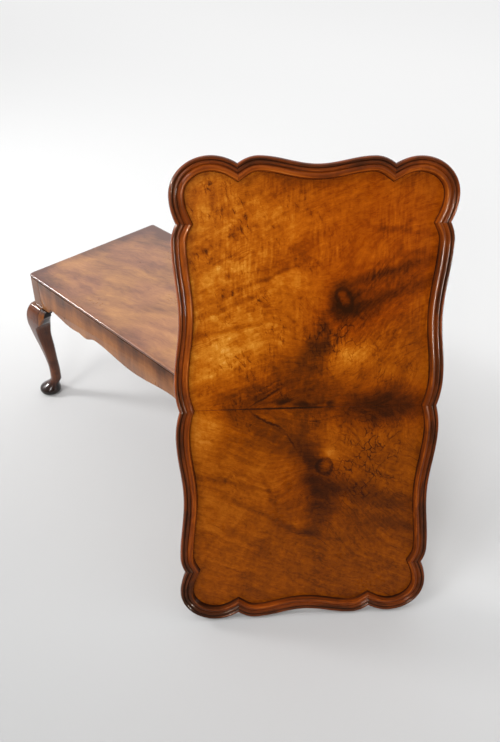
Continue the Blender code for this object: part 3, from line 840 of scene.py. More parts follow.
    def _figure(self, board: Board, place: Socket) -> Feed:
        """Work out the wood's tone.

        Args:
            board: The material's board.
            place: The place in the tray's own frame.

        Returns:
            The tone, from 0 for the darkest knot to 1 for the palest wood.
        """
        drift = board.warp(board.warp(board.warp(place, 10.0, 0.020), 38.0, 0.010), 130.0, 0.004)
        tone = board.add(board.cloud(place, 7.0, 0.20, 4.0), *board.ovals(drift, *self._stains()))
        flow = self._flow(board, drift)
        for thin, scale, depth in ((11.0, 2.2, 0.20), (16.0, 8.0, 0.30), (24.0, 40.0, 0.26)):
            tone = board.add(tone, board.cloud(board.stretch(flow, (1.0, thin, 1.0)), scale, depth, 4.0, 0.62))
        level = board.noise(board.stretch(flow, (1.0, 9.0, 1.0)), 3.4, 4.0)
        line = board.spread(board.sum(Op.ABSOLUTE, board.sum(Op.SUBTRACT, level, 0.5)), 0.0, 0.016, 1.0, 0.0)
        strength = board.spread(board.noise(place, 12.0, 2.0), 0.46, 0.70, 0.0, -0.13)
        tone = board.sum(Op.MULTIPLY_ADD, line, strength, tone)
        tone = board.add(tone, board.cloud(board.warp(place, 30.0, 0.02), 26.0, 0.32, 7.0, 0.72))
        tone = board.add(tone, board.cloud(place, 110.0, 0.30, 4.0, 0.75))
        mottle = board.cloud(board.warp(place, 60.0, 0.02), 52.0, 1.0, 5.0, 0.70)
        left = board.oval(place, Stroke(-0.160, 0.280, 0.30, 0.40, 0, 0.64))
        tone = board.sum(Op.MULTIPLY_ADD, mottle, board.add(left, 0.10), tone)
        return board.add(tone, self._curl(board, place), self._knots(board, place), self.ground)

    def _flow(self, board: Board, drift: Socket) -> Socket:
        """Bend the grain's own frame, mirrored at the seam, round the knots.

        Args:
            board: The material's board.
            drift: The pushed place in the tray's frame.

        Returns:
            A place whose X runs along the grain.
        """
        x, y, _ = board.apart(drift)
        mirrored = board.join(x, board.sum(Op.ABSOLUTE, y))
        bulge = board.add(*board.ovals(
            mirrored, Stroke(0.058, 0.222, 0.16, 0.13, 20, 0.060), Stroke(0.025, 0.140, 0.13, 0.10, 0, 0.055),
            Stroke(0.150, 0.010, 0.20, 0.10, 0, 0.060),
        ))
        along, across, _ = board.apart(board.turned(mirrored, self.grain_turn))
        return board.join(along, board.add(across, bulge))

    def _curl(self, board: Board, place: Socket) -> Socket:
        """Curl: flecks that are strongest on the left, hatching on the upper leaf and a wave beside its knots.

        Args:
            board: The material's board.
            place: The place in the tray's frame.

        Returns:
            What it adds to the tone.
        """
        across = board.warp(board.turned(place, self.curl_turn), 30.0, 0.020)
        fleck = board.noise(board.stretch(across, (1.0, 2.6, 1.0)), 74.0, 5.0, 0.66)
        cluster = board.spread(board.noise(place, 17.0, 3.0), 0.44, 0.66)
        flecks = board.sum(Op.MULTIPLY, board.spread(fleck, 0.50, 0.74), cluster)
        masks = board.ovals(
            place, Stroke(-0.180, 0.300, 0.30, 0.40, 0, -0.50), Stroke(0.000, -0.100, 0.70, 0.90, 0, -0.18),
            Stroke(0.000, 0.270, 0.60, 0.40, 0, 0.46), Stroke(0.140, 0.145, 0.15, 0.12, 0, 0.55),
        )
        left, faint, upper, middle = masks
        curl = board.sum(Op.MULTIPLY, flecks, board.add(left, faint))
        hatch = board.cloud(board.stretch(board.warp(place, 14.0, 0.014), (9.0, 1.0, 1.0)), 24.0, 1.0, 3.0)
        patch = board.spread(board.noise(place, 9.0, 3.0), 0.40, 0.64)
        hatched = board.sum(Op.MULTIPLY, hatch, patch)
        curl = board.sum(Op.MULTIPLY_ADD, hatched, board.add(upper, 0.10), curl)
        rising = board.warp(board.turned(place, self.wave_turn), 22.0, 0.024)
        wave = board.cloud(board.stretch(rising, (1.0, 4.5, 1.0)), 34.0, 1.0, 4.0, 0.6)
        return board.sum(Op.MULTIPLY_ADD, wave, middle, curl)

    def _knots(self, board: Board, place: Socket) -> Feed:
        """Knots, burr lines and the split beside the seam.

        Args:
            board: The material's board.
            place: The place in the tray's frame.

        Returns:
            What they add to the tone.
        """
        rough = board.warp(board.warp(place, 45.0, 0.010), 170.0, 0.005)
        tone = board.add(*board.ovals(rough, *self._spots()))
        eyes = (
            Stroke(0.060, 0.218, 0.014, 0.022, 24, -0.14), Stroke(0.035, -0.130, 0.016, 0.017, 0, -0.18),
            Stroke(0.040, 0.138, 0.011, 0.014, 0, -0.14),
        )
        tone = board.add(tone, *(board.ring(rough, eye, 0.40) for eye in eyes))
        wander = board.warp(board.warp(place, 24.0, 0.04), 90.0, 0.012)
        line = board.net(board.stretch(wander, (1.5, 0.8, 1.0)), 62.0, 0.12)
        broken = board.sum(Op.MULTIPLY, line, board.spread(board.noise(place, 44.0, 2.0), 0.38, 0.62))
        burr = board.add(*board.ovals(
            place, Stroke(0.124, -0.116, 0.115, 0.145, 0, -0.42), Stroke(0.130, 0.090, 0.15, 0.12, 0, -0.16),
            Stroke(0.040, 0.140, 0.08, 0.08, 0, -0.34),
        ))
        tone = board.sum(Op.MULTIPLY_ADD, broken, burr, tone)
        splits = board.ovals(
            rough,
            Stroke(-0.086, 0.025, 0.066, 0.0036, 31, -0.26), Stroke(-0.086, -0.025, 0.066, 0.0036, -31, -0.26),
            Stroke(-0.037, -0.070, 0.034, 0.0040, -58, -0.18),
        )
        joints = board.ovals(
            place, Stroke(-0.040, 0.0, 0.120, 0.0032, 0, -0.40), Stroke(-0.150, 0.0, 0.150, 0.0024, 0, -0.16)
        )
        return board.add(tone, *splits, *joints)

    def material(self, effects: Effects) -> Material:
        """Make the finish.

        Args:
            effects: The shared effects.

        Returns:
            The material.
        """
        material, board, shader = new_material("burr_veneer")
        place = board.into(board.place(), self.origin, self.turn)
        tone = self._figure(board, place)
        grain = board.group(effects.grain, Place=place, Waviness=self.waviness, Streaks=self.streaks)
        tone = board.sum(Op.SUBTRACT, tone, board.sum(Op.MULTIPLY, grain["Pores"], self.pore_depth))
        colour = board.ramp(tone, [
            (0.00, paint(44, 20, 6)),
            (0.16, paint(70, 30, 6)),
            (0.32, paint(108, 47, 4)),
            (0.48, paint(148, 69, 3)),
            (0.64, paint(182, 97, 12)),
            (0.80, paint(208, 131, 36)),
            (1.00, paint(230, 172, 86)),
        ])
        warm = board.add(board.cloud(place, 20.0, 0.5, 4.0), *board.ovals(place, *self._red_places()))
        warm = board.sum(Op.MINIMUM, board.sum(Op.MAXIMUM, warm, 0.0), 1.0)
        _, up, _ = board.apart(board.warp(place, 8.0, 0.10))
        lower = board.spread(up, -0.15, 0.05, 1.0, 0.0)
        polish = board.group(effects.polish, Place=place, Roughness=self.roughness, Smear=self.smear)
        ripple = board.bump(polish["Ripple"], self.ripple_height, self.ripple)
        fibre = board.bump(grain["Fibre"], self.fibre_height, self.fibre_strength, ripple)
        board.fill(
            shader, Base_Color=board.stain(lower, board.stain(warm, colour, self.red), self.brown),
            Roughness=polish["Roughness"], Normal=fibre, Specular_IOR_Level=self.shine, Specular_Tint=self.gleam,
            Coat_Weight=self.coat, Coat_Roughness=self.coat_roughness,
        )
        return material


@dataclass(frozen=True)
class RimWalnut:
    """Dark walnut of the rim: streaks along the moulding, bead crests lighter with rubbed wear and a painted highlight,
    and painted shade in the quirks.
    """

    origin: Triple
    turn: Triple
    ground: float = 0.44
    waviness: float = 0.006
    streaks: float = 95.0
    figure: float = 0.55
    fibre_height: float = 0.0002
    fibre_strength: float = 0.35
    dirt: float = 0.16
    gleam: Colour = (1.0, 0.62, 0.36, 1.0)
    roughness: float = 0.24
    smear: float = 0.12
    shine: float = 0.09
    coat: float = 0.14
    lip_coat: float = 0.03
    edge_coat: float = 0.30
    coat_roughness: float = 0.05

    def material(self, effects: Effects) -> Material:
        """Make the finish.

        Args:
            effects: The shared effects.

        Returns:
            The material.
        """
        material, board, shader = new_material("rim_walnut")
        row, girth, relief = board.place(), board.mark("girth"), board.mark("relief")
        along = board.join(board.mark("run"), girth, board.cloud(row, 3.0, 0.10, 1.0))
        grain = board.group(effects.grain, Place=along, Waviness=self.waviness, Streaks=self.streaks)
        tone = board.sum(Op.MULTIPLY_ADD, grain["Tone"], self.figure, board.cloud(row, 13.0, 0.40, 3.0))
        bands = (
            (relief, -1.0, -0.3, -0.18, 0.0),  # painted shade in the quirks
            (relief, 0.65, 1.0, 0.0, 0.12),  # bead crests lighter: rubbed wear and a painted highlight
            (girth, 0.003, 0.010, 0.0, -0.12),  # darker past the outer bead
            (girth, 0.018, 0.024, 0.0, 0.17),  # lighter from the inner quirk on
            (girth, 0.0375, 0.0430, 0.0, -0.30),  # painted shade at the foot of the inner lip
        )
        tone = board.add(tone, *(board.spread(*band) for band in bands))
        streaks = board.cloud(board.stretch(along, (1.0, 16.0, 1.0)), 11.0, 0.75, 4.0, 0.6)
        # Patches along the rim are partly the wood's own tone and partly painted light and shade: a darker lower-left
        # lobe, a lighter left side and a lighter upper-right lobe.
        tone = board.add(tone, board.add(streaks, self.ground), *board.ovals(
            board.into(row, self.origin, self.turn), Stroke(-0.215, -0.420, 0.140, 0.120, 0, -0.30),
            Stroke(-0.250, 0.180, 0.080, 0.340, 0, 0.12), Stroke(0.225, 0.410, 0.120, 0.130, 0, 0.16),
        ))
        tone = board.sum(Op.SUBTRACT, tone, board.group(effects.grime, Place=row, Amount=self.dirt)["Dirt"])
        colour = board.ramp(tone, [
            (0.00, paint(42, 20, 10)),
            (0.25, paint(72, 34, 14)),
            (0.50, paint(116, 50, 11)),
            (0.75, paint(160, 78, 18)),
            (1.00, paint(206, 130, 62)),
        ])
        polish = board.group(effects.polish, Place=row, Roughness=self.roughness, Smear=self.smear)
        coat = board.spread(girth, 0.026, 0.031, self.coat, self.lip_coat)
        board.fill(
            shader, Base_Color=colour, Roughness=polish["Roughness"],
            Normal=board.bump(grain["Fibre"], self.fibre_height, self.fibre_strength),
            Specular_IOR_Level=self.shine, Specular_Tint=self.gleam,
            Coat_Weight=board.add(coat, board.spread(girth, 0.004, 0.009, self.edge_coat, 0.0)),
            Coat_Roughness=self.coat_roughness,
        )
        return material


@dataclass(frozen=True)
class PlainWalnut:
    """Polished walnut of the table, with its grain along one way."""

    name: str
    turn: Triple
    stops: tuple[Colour, ...]
    ground: float = 0.5
    pore_depth: float = 0.10
    fibre_height: float = 0.00015
    fibre_strength: float = 0.35
    ripple_height: float = 0.0008
    clouds: float = 9.0
    cloud_stretch: Triple = (0.45, 1.0, 1.0)
    streaks: float = 26.0
    waviness: float = 0.05
    cloudiness: float = 0.45
    figure: float = 0.55
    roughness: float = 0.30
    smear: float = 0.14
    coat: float = 0.40
    coat_roughness: float = 0.12
    shine: float = 0.40
    dirt: float = 0.10
    ripple: float = 0.30

    def material(self, effects: Effects) -> Material:
        """Make the finish.

        Args:
            effects: The shared effects.

        Returns:
            The material.
        """
        material, board, shader = new_material(self.name)
        row = board.place()
        place = board.into(row, ZERO, self.turn)
        grain = board.group(effects.grain, Place=place, Waviness=self.waviness, Streaks=self.streaks)
        clouds = board.cloud(board.stretch(place, self.cloud_stretch), self.clouds, self.cloudiness, 4.0, 0.6)
        tone = board.sum(Op.MULTIPLY_ADD, grain["Tone"], self.figure, clouds)
        tone = board.add(tone, board.add(self.extra(board, row), self.ground))
        tone = board.sum(Op.SUBTRACT, tone, board.group(effects.grime, Place=row, Amount=self.dirt)["Dirt"])
        tone = board.sum(Op.SUBTRACT, tone, board.sum(Op.MULTIPLY, grain["Pores"], self.pore_depth))
        share = 1.0 / (len(self.stops) - 1)
        stops = [(number * share, colour) for number, colour in enumerate(self.stops)]
        polish = board.group(effects.polish, Place=row, Roughness=self.roughness, Smear=self.smear)
        ripple = board.bump(polish["Ripple"], self.ripple_height, self.ripple)
        fibre = board.bump(grain["Fibre"], self.fibre_height, self.fibre_strength, ripple)
        board.fill(
            shader, Base_Color=self.tint(board, row, board.ramp(tone, stops)), Roughness=polish["Roughness"],
            Normal=fibre, Specular_IOR_Level=self.shine, Coat_Weight=self.coat, Coat_Roughness=self.coat_roughness,
        )
        return material

    def extra(self, board: Board, row: Socket) -> Feed:
        """What a piece's own place adds to the tone: nothing on plain wood."""
        return 0.0

    def tint(self, board: Board, row: Socket, colour: Socket) -> Socket:
        """How a piece's own place tints the colour: not at all on plain wood."""
        return colour


@dataclass(frozen=True)
class TopWalnut(PlainWalnut):
    """Walnut of the table's top, mottled and darker towards its edges."""

    low: tuple[float, float] = (0.0, 0.0)
    high: tuple[float, float] = (0.0, 0.0)
    top: float = 0.0
    border: float = 0.055
    border_dark: float = -0.28
    back_dark: float = -0.17
    left_dark: float = -0.10
    right_light: float = 0.04
    foot_low: float = 0.0055
    foot_high: float = 0.0025
    foot_dark: float = -0.60
    cool: Colour = (0.98, 0.95, 1.16, 1.0)
    cooling: float = 0.8

    def extra(self, board: Board, row: Socket) -> Feed:
        """A mottle, a border that darkens towards the nearest edge, a paler front and painted shade on the foot of the
        edge.

        Args:
            board: The material's board.
            row: The place in the row frame.

        Returns:
            What they add to the tone.
        """
        spot = board.apart(board.warp(row, 12.0, 0.05))
        reach: Feed = 1.0
        for part, low, high in zip(spot, self.low, self.high):
            reach = board.sum(Op.MINIMUM, reach, board.sum(Op.SUBTRACT, part, low))
            reach = board.sum(Op.MINIMUM, reach, board.sum(Op.SUBTRACT, high, part))
        edge = board.spread(reach, 0.0, self.border, self.border_dark, 0.0)
        wander = board.warp(board.warp(row, 7.0, 0.08), 30.0, 0.025)
        along = board.into(wander, ZERO, self.turn)
        wavy = board.cloud(board.stretch(along, (1.0, 2.4, 1.0)), 12.0, 0.72, 5.0, 0.60)
        wavy = board.add(wavy, board.cloud(board.stretch(along, (1.0, 9.0, 1.0)), 22.0, 0.24, 4.0, 0.60))
        back_and_side_tone = board.spread(spot[1], self.low[1], self.high[1], 0.0, self.back_dark)
        across = board.spread(spot[0], self.low[0], self.high[0], self.left_dark, self.right_light)
        back_and_side_tone = board.add(back_and_side_tone, across)
        _, _, level = board.apart(row)
        # Painted shade: the edge's lower part, above the quirk, is painted dark.
        under = board.spread(level, self.top - self.foot_low, self.top - self.foot_high, self.foot_dark, 0.0)
        return board.add(board.add(edge, wavy), board.add(back_and_side_tone, under))

    def tint(self, board: Board, row: Socket, colour: Socket) -> Socket:
        """Cool the brown in patches."""
        patch = board.noise(board.warp(row, 12.0, 0.05), 10.0, 3.0)
        return board.stain(board.spread(patch, 0.40, 0.62, 0.0, self.cooling), colour, self.cool)


@dataclass(frozen=True)
class ApronWalnut(PlainWalnut):
    """Walnut of an apron: light and dark bars across its grain, and painted shade under the top."""

    bars: Triple = (1.0, 1.0, 0.10)
    bar_scale: float = 30.0
    bar_depth: float = 0.80
    shade_low: float = 0.345
    shade_high: float = 0.392
    shade: float = -0.38
    below_shade: float = -0.03

    def extra(self, board: Board, row: Socket) -> Feed:
        """The bars, and painted shade under the top.

        Args:
            board: The material's board.
            row: The place in the row frame.

        Returns:
            What they add to the tone.
        """
        across = board.stretch(board.warp(row, 16.0, 0.02), self.bars)
        bar = board.cloud(across, self.bar_scale, self.bar_depth, 4.0, 0.6)
        _, _, level = board.apart(board.warp(row, 14.0, 0.02))
        # Painted shade: the apron is painted darker under the top.
        return board.add(bar, board.spread(level, self.shade_low, self.shade_high, self.below_shade, self.shade))


@dataclass(frozen=True)
class LegWalnut(PlainWalnut):
    """Walnut of a leg: painted paler and greyer on the post and lighter at the knee, as painted light, and nearly black
    at the foot.
    """

    foot: float = 0.075
    foot_dark: float = -0.50
    knee_low: float = 0.185
    knee_high: float = 0.275
    knee_light: float = 0.05
    post_low: float = 0.302
    post_high: float = 0.310
    post_sheen: float = 0.62
    sheen_grey: Colour = paint(118, 84, 62)

    def extra(self, board: Board, row: Socket) -> Feed:
        """The dark of the foot, and painted light on the knee.

        Args:
            board: The material's board.
            row: The place in the row frame.

        Returns:
            What they add to the tone.
        """
        _, _, level = board.apart(board.warp(row, 20.0, 0.03))
        dark = board.spread(level, 0.0, self.foot, self.foot_dark, 0.0)
        # Painted light: the knee is painted lighter where light falls on it.
        return board.add(dark, board.spread(level, self.knee_low, self.knee_high, 0.0, self.knee_light))

    def tint(self, board: Board, row: Socket, colour: Socket) -> Socket:
        """Paint a sheen on the post, which sits in the light: a greyer brown.

        Args:
            board: The material's board.
            row: The place in the row frame.
            colour: The wood's colour.

        Returns:
            The tinted colour.
        """
        _, _, level = board.apart(row)
        # Painted sheen: the post is blended to a paler, greyer brown.
        post = board.spread(level, self.post_low, self.post_high, 0.0, self.post_sheen)
        return board.blend(post, colour, self.sheen_grey)


@dataclass(frozen=True)
class EarWalnut(PlainWalnut):
    """Walnut of an ear block: its face painted as bright as the lit knee, and painted shade on its end and back."""

    low: tuple[float, float] = (0.0, 0.0)
    high: tuple[float, float] = (0.0, 0.0)
    end_from: float = 0.061
    end_to: float = 0.064
    end_dark: float = -0.50
    back_from: float = -0.014
    back_to: float = -0.004
    back_dark: float = -0.40

    def extra(self, board: Board, row: Socket) -> Feed:
        """Painted shade on the end and on the back, from how far in from the table's sides they are.

        Args:
            board: The material's board.
            row: The place in the row frame.

        Returns:
            What they add to the tone.
        """
        inset = []
        for part, low, high in zip(board.apart(row), self.low, self.high):
            near = board.sum(Op.SUBTRACT, part, low)
            inset.append(board.sum(Op.MINIMUM, near, board.sum(Op.SUBTRACT, high, part)))
        # Painted shade: the ear's end and back are painted dark.
        end = board.spread(board.sum(Op.MAXIMUM, *inset), self.end_from, self.end_to, 0.0, self.end_dark)
        back = board.spread(board.sum(Op.MINIMUM, *inset), self.back_from, self.back_to, 0.0, self.back_dark)
        return board.add(end, back)


@dataclass(frozen=True)
class ScrewSteel:
    """Dull old steel of the screws, in a finer pattern than wood."""

    roughness: float = 0.42
    smear: float = 0.25
    dirt: float = 0.8
    dirt_scale: Triple = (6.0, 6.0, 6.0)
    smear_scale: Triple = (8.0, 8.0, 8.0)
    steel: Colour = paint(176, 172, 166)
    rust: Colour = paint(92, 62, 44)

    def material(self, effects: Effects) -> Material:
        """Make the finish.

        Args:
            effects: The shared effects.

        Returns:
            The material.
        """
        material, board, shader = new_material("screw_steel")
        row = board.place()
        spots = board.group(effects.grime, Place=board.stretch(row, self.dirt_scale), Amount=self.dirt)
        fine = board.stretch(row, self.smear_scale)
        polish = board.group(effects.polish, Place=fine, Roughness=self.roughness, Smear=self.smear)
        colour = board.blend(spots["Dirt"], self.steel, self.rust)
        board.fill(shader, Base_Color=colour, Roughness=polish["Roughness"], Metallic=1.0)
        return material


@dataclass
class TrayStand:
    """How the tray stands: its lean from upright and its turn about the vertical."""

    lean: float = math.radians(20.0)
    turn: float = math.radians(48.9)

    def matrix(self, board: Object) -> Matrix:
        """Find the tray's own frame from its board, which is even about its middle.

        Args:
            board: The board's node.

        Returns:
            The frame: x across, y along, z out of the face, zero in the middle of the underside.
        """
        across = Vector((math.cos(self.turn), math.sin(self.turn), 0.0))
        backwards = Vector((-across.y, across.x, 0.0))
        along = Vector((0.0, 0.0, math.cos(self.lean))) + backwards * math.sin(self.lean)
        out = across.cross(along)
        corners = [vertex.co for vertex in board.data.vertices]
        origin = out * min(out.dot(corner) for corner in corners)
        for axis in (across, along):
            reach = [axis.dot(corner) for corner in corners]
            origin += axis * (min(reach) + max(reach)) / 2
        made = Matrix((across, along, out)).transposed().to_4x4()
        made.translation = origin
        return made


@dataclass
class TrayRim:
    """The tray's scalloped rim: ten mitred lengths of one moulding."""

    stand: Matrix
    gap: float = 0.0003
    length: float = 0.956
    width: float = 0.529
    end_notch_from_side: float = 0.1225
    end_notch_inset: float = 0.0130
    end_crest_from_side: float = 0.1600
    end_dip_inset: float = 0.0140
    lobe_crest_from_side: float = 0.0765
    lobe_crest_from_end: float = 0.0690
    side_notch_from_end: float = 0.1180
    side_notch_inset: float = 0.0115
    side_crest_from_end: float = 0.1530
    side_crest_inset: float = 0.0020
    side_dip_inset: float = 0.0120
    mid_crest_at: float = 0.0550
    mid_notch_inset: float = 0.0085
    seat: float = 0.0076
    rebate_inset: float = 0.0100
    foot_inset: float = 0.0020
    steps: int = 14
    member_steps: int = 6

    def section(self) -> list[Triple]:
        """The moulding's section.

        Returns:
            Points as inset, height and relief, from the outer foot round to the rebate.
        """
        keys = [
            Key(0.0000, 0.0140, Turn.NOTCH, -0.2),
            Key(0.0036, 0.0195, relief=0.3),
            Key(0.0078, 0.0166, Turn.NOTCH, -1.0),
            Key(0.0117, 0.0190, relief=1.0),
            Key(0.0157, 0.0160, Turn.NOTCH, -0.5),
            Key(0.0245, 0.0200, relief=1.0),
            Key(0.0285, self.seat, Turn.NOTCH, -0.7),
        ]
        rebate = [(self.rebate_inset, self.seat, -1.0), (self.rebate_inset, 0.0, -0.6), (self.foot_inset, 0.0, -0.4)]
        return shaped_line(keys, self.member_steps) + rebate

    def side(self) -> list[Vector]:
        """Half a long side of the outline.

        Returns:
            Its points, from the middle notch to the lobe's notch.
        """
        half, crest = self.length / 2, self.length / 2 - self.side_crest_from_end
        keys = [
            Key(0.0, self.mid_notch_inset, Turn.NOTCH),
            Key(self.mid_crest_at, 0.0),
            Key((self.mid_crest_at + crest) / 2, self.side_dip_inset),
            Key(crest, self.side_crest_inset),
            Key(half - self.side_notch_from_end, self.side_notch_inset, Turn.NOTCH),
        ]
        return [Vector((self.width / 2 - inset, along)) for along, inset, _ in shaped_line(keys, self.steps)]

    def lobe(self) -> list[Vector]:
        """A corner lobe of the outline.

        Returns:
            Its points, from its notch on the long side to its notch on the end.
        """
        side, end = self.width / 2, self.length / 2
        crest_along, crest_across = end - self.lobe_crest_from_end, side - self.lobe_crest_from_side
        rise = shaped_line(
            [Key(end - self.side_notch_from_end, self.side_notch_inset, Turn.NOTCH), Key(crest_along, 0.0)], self.steps
        )
        points = [Vector((side - inset, along)) for along, inset, _ in rise]
        for step in range(1, 2 * self.steps):
            turn = step / (2 * self.steps) * math.pi / 2
            across = crest_across + self.lobe_crest_from_side * math.cos(turn)
            points.append(Vector((across, crest_along + self.lobe_crest_from_end * math.sin(turn))))
        fall = shaped_line(
            [Key(crest_across, 0.0), Key(side - self.end_notch_from_side, self.end_notch_inset, Turn.NOTCH)], self.steps
        )
        return points + [Vector((across, end - inset)) for across, inset, _ in fall]

    def end(self) -> list[Vector]:
        """A short end of the outline.

        Returns:
            Its points, from notch to notch.
        """
        notch, crest = self.width / 2 - self.end_notch_from_side, self.width / 2 - self.end_crest_from_side
        keys = [
            Key(notch, self.end_notch_inset, Turn.NOTCH),
            Key(crest, 0.0),
            Key(0.0, self.end_dip_inset),
            Key(-crest, 0.0),
            Key(-notch, self.end_notch_inset, Turn.NOTCH),
        ]
        return [Vector((across, self.length / 2 - inset)) for across, inset, _ in shaped_line(keys, self.steps)]

    @staticmethod
    def inset_ways(points: Sequence[Vector], before: Vector, after: Vector) -> list[Vector]:
        """Find how each point of a stretch moves for one unit of inset, mitred with its neighbours.

        Args:
            points: The stretch, counterclockwise.
            before: The point before it, on the stretch before.
            after: The point after it, on the stretch after.

        Returns:
            A way for each point.
        """
        line = [before, *points, after]
        steps = [(end - start).normalized() for start, end in zip(line, line[1:])]
        normals = [Vector((-step.y, step.x)) for step in steps]
        ways = []
        for normal, other in zip(normals, normals[1:]):
            middle = (normal + other).normalized()
            ways.append(middle / middle.dot(normal))
        return ways

    def length_of(self, name: str, points: Sequence[Vector], before: Vector, after: Vector) -> Object:
        """Run the moulding along one stretch.

        Args:
            name: The node that the length stands for.
            points: The stretch.
            before: The point before it.
            after: The point after it.

        Returns:
            The length, in the tray's own frame, with its marks.
        """
        section = self.section()
        ways = self.inset_ways(points, before, after)
        rings = []
        for point, way in zip(points, ways):
            rings.append([Vector((*(point + way * inset), height)) for inset, height, _ in section])
        for ring, way, sign in ((rings[0], ways[0], 1), (rings[-1], ways[-1], -1)):
            slip = Vector((way.y, -way.x, 0.0)).normalized() * sign * self.gap / 2
            ring[:] = [point + slip for point in ring]
        piece = Workbench.sweep(f"shown_{name}", rings, keep_marks=True)
        self.lay_marks(piece, points, section)
        Workbench.smooth(piece)
        return piece

    @staticmethod
    def lay_marks(piece: Object, points: Sequence[Vector], section: Sequence[Triple]) -> None:
        """Mark each vertex with its run along the moulding, its girth round the section and its relief.

        Args:
            piece: The length.
            points: Its stretch.
            section: Its section.
        """
        runs, girths = [0.0], [0.0]
        for start, end in zip(points, points[1:]):
            runs.append(runs[-1] + (end - start).length)
        for start, end in zip(section, section[1:]):
            girths.append(girths[-1] + math.hypot(end[0] - start[0], end[1] - start[1]))
        attributes = piece.data.attributes
        for mark in ("run", "girth", "relief"):
            attributes.new(mark, "FLOAT", "POINT")
        for number in range(len(piece.data.vertices)):
            station = attributes["station"].data[number].value
            place = attributes["place"].data[number].value
            attributes["run"].data[number].value = runs[station]
            attributes["girth"].data[number].value = girths[place]
            attributes["relief"].data[number].value = section[place][2]
        Workbench.drop_marks(piece)

    def build(self, material: Material) -> None:
        """Model one side, one lobe and one end, and copy them round the tray.

        Args:
            material: The rim's finish.
        """
        side, lobe, end = self.side(), self.lobe(), self.end()
        below = Vector((side[1].x, -side[1].y))
        beside = Vector((-lobe[-2].x, lobe[-2].y))
        lengths = {
            "side": self.length_of("rim_side_upper_right", side, below, lobe[1]),
            "corner": self.length_of("rim_corner_upper_right", lobe, side[-2], end[1]),
            "end": self.length_of("rim_end_upper", end, lobe[-2], beside),
        }
        half_turn = Matrix.Rotation(math.pi, 4, "Z")
        flip_across = Matrix.Diagonal((-1.0, 1.0, 1.0, 1.0))
        flip_along = Matrix.Diagonal((1.0, -1.0, 1.0, 1.0))
        for kind in ("side", "corner"):
            for spot, move in (("upper_left", flip_across), ("lower_left", half_turn), ("lower_right", flip_along)):
                self.place(Workbench.twin(lengths[kind], f"shown_rim_{kind}_{spot}", move), material)
        self.place(Workbench.twin(lengths["end"], "shown_rim_end_lower", half_turn), material)
        for piece in lengths.values():
            self.place(piece, material)

    def place(self, piece: Object, material: Material) -> None:
        """Stand a length where the tray is."""
        Workbench.shift(piece, self.stand)
        Workbench.settle(piece, Body.TRAY, Slot.MOULDING, material)


@dataclass
class TableTop:
    """The table's board: a quirk under its edge and a rounded arris."""

    low: Vector
    high: Vector
    edge_width: float = 0.0070
    edge_rise: float = 0.0050
    quirk: float = 0.0018
    quirk_shape: tuple[tuple[float, float], ...] = ((1.0, 1.0), (1.35, 0.35), (1.8, 0.0))
    sole_inset: float = 0.0010
    sole_rise: float = 0.0006
    flat_inset: float = 0.0040
    corner_radius: float = 0.0100
    least_radius: float = 0.0020
    corner_steps: int = 8
    edge_steps: int = 8

    def ring(self, height: float, inset: float) -> list[Vector]:
        """A section of the board.

        Args:
            height: Its height.
            inset: How far it lies inside the board's outline.

        Returns:
            Its points.
        """
        radius = max(self.corner_radius - inset, self.least_radius)
        low, high = self.low, self.high
        points = []
        corners = ((high.x, high.y, 0), (low.x, high.y, 1), (low.x, low.y, 2), (high.x, low.y, 3))
        for x, y, quarter in corners:
            way = Vector((1 if quarter in (0, 3) else -1, 1 if quarter < 2 else -1))
            centre = Vector((x, y)) - way * (inset + radius)
            for step in range(self.corner_steps + 1):
                turn = (quarter + step / self.corner_steps) * math.pi / 2
                points.append(Vector((centre.x + radius * math.cos(turn), centre.y + radius * math.sin(turn), height)))
        return points

    def build(self, material: Material) -> None:
        """Model the board, from its underside up over its arris.

        Args:
            material: The board's finish.
        """
        foot, top = self.low.z, self.high.z
        rings = [self.ring(foot, self.quirk + self.sole_inset), self.ring(foot + self.sole_rise, self.quirk)]
        for rise, inset in self.quirk_shape:
            rings.append(self.ring(foot + self.quirk * rise, self.quirk * inset))
        for step in range(self.edge_steps + 1):
            turn = step / self.edge_steps * math.pi / 2
            height = top - self.edge_rise * (1 - math.sin(turn))
            rings.append(self.ring(height, self.edge_width * (1 - math.cos(turn))))
        rings.append(self.ring(top, self.edge_width + self.flat_inset))
        piece = Workbench.sweep("shown_table_top", rings)
        Workbench.smooth(piece)
        Workbench.settle(piece, Body.TABLE, Slot.TOP, material)


@dataclass
class TableFrame:
    """Sizes that the legs and the aprons share: the top's box, the glue gap, heights, the posts and the ears."""

    low: Vector
    high: Vector
    gap: float = 0.0003
    frame_top: float = 0.390
    shoulder: float = 0.308
    post: float = 0.0400
    ear_length: float = 0.0250


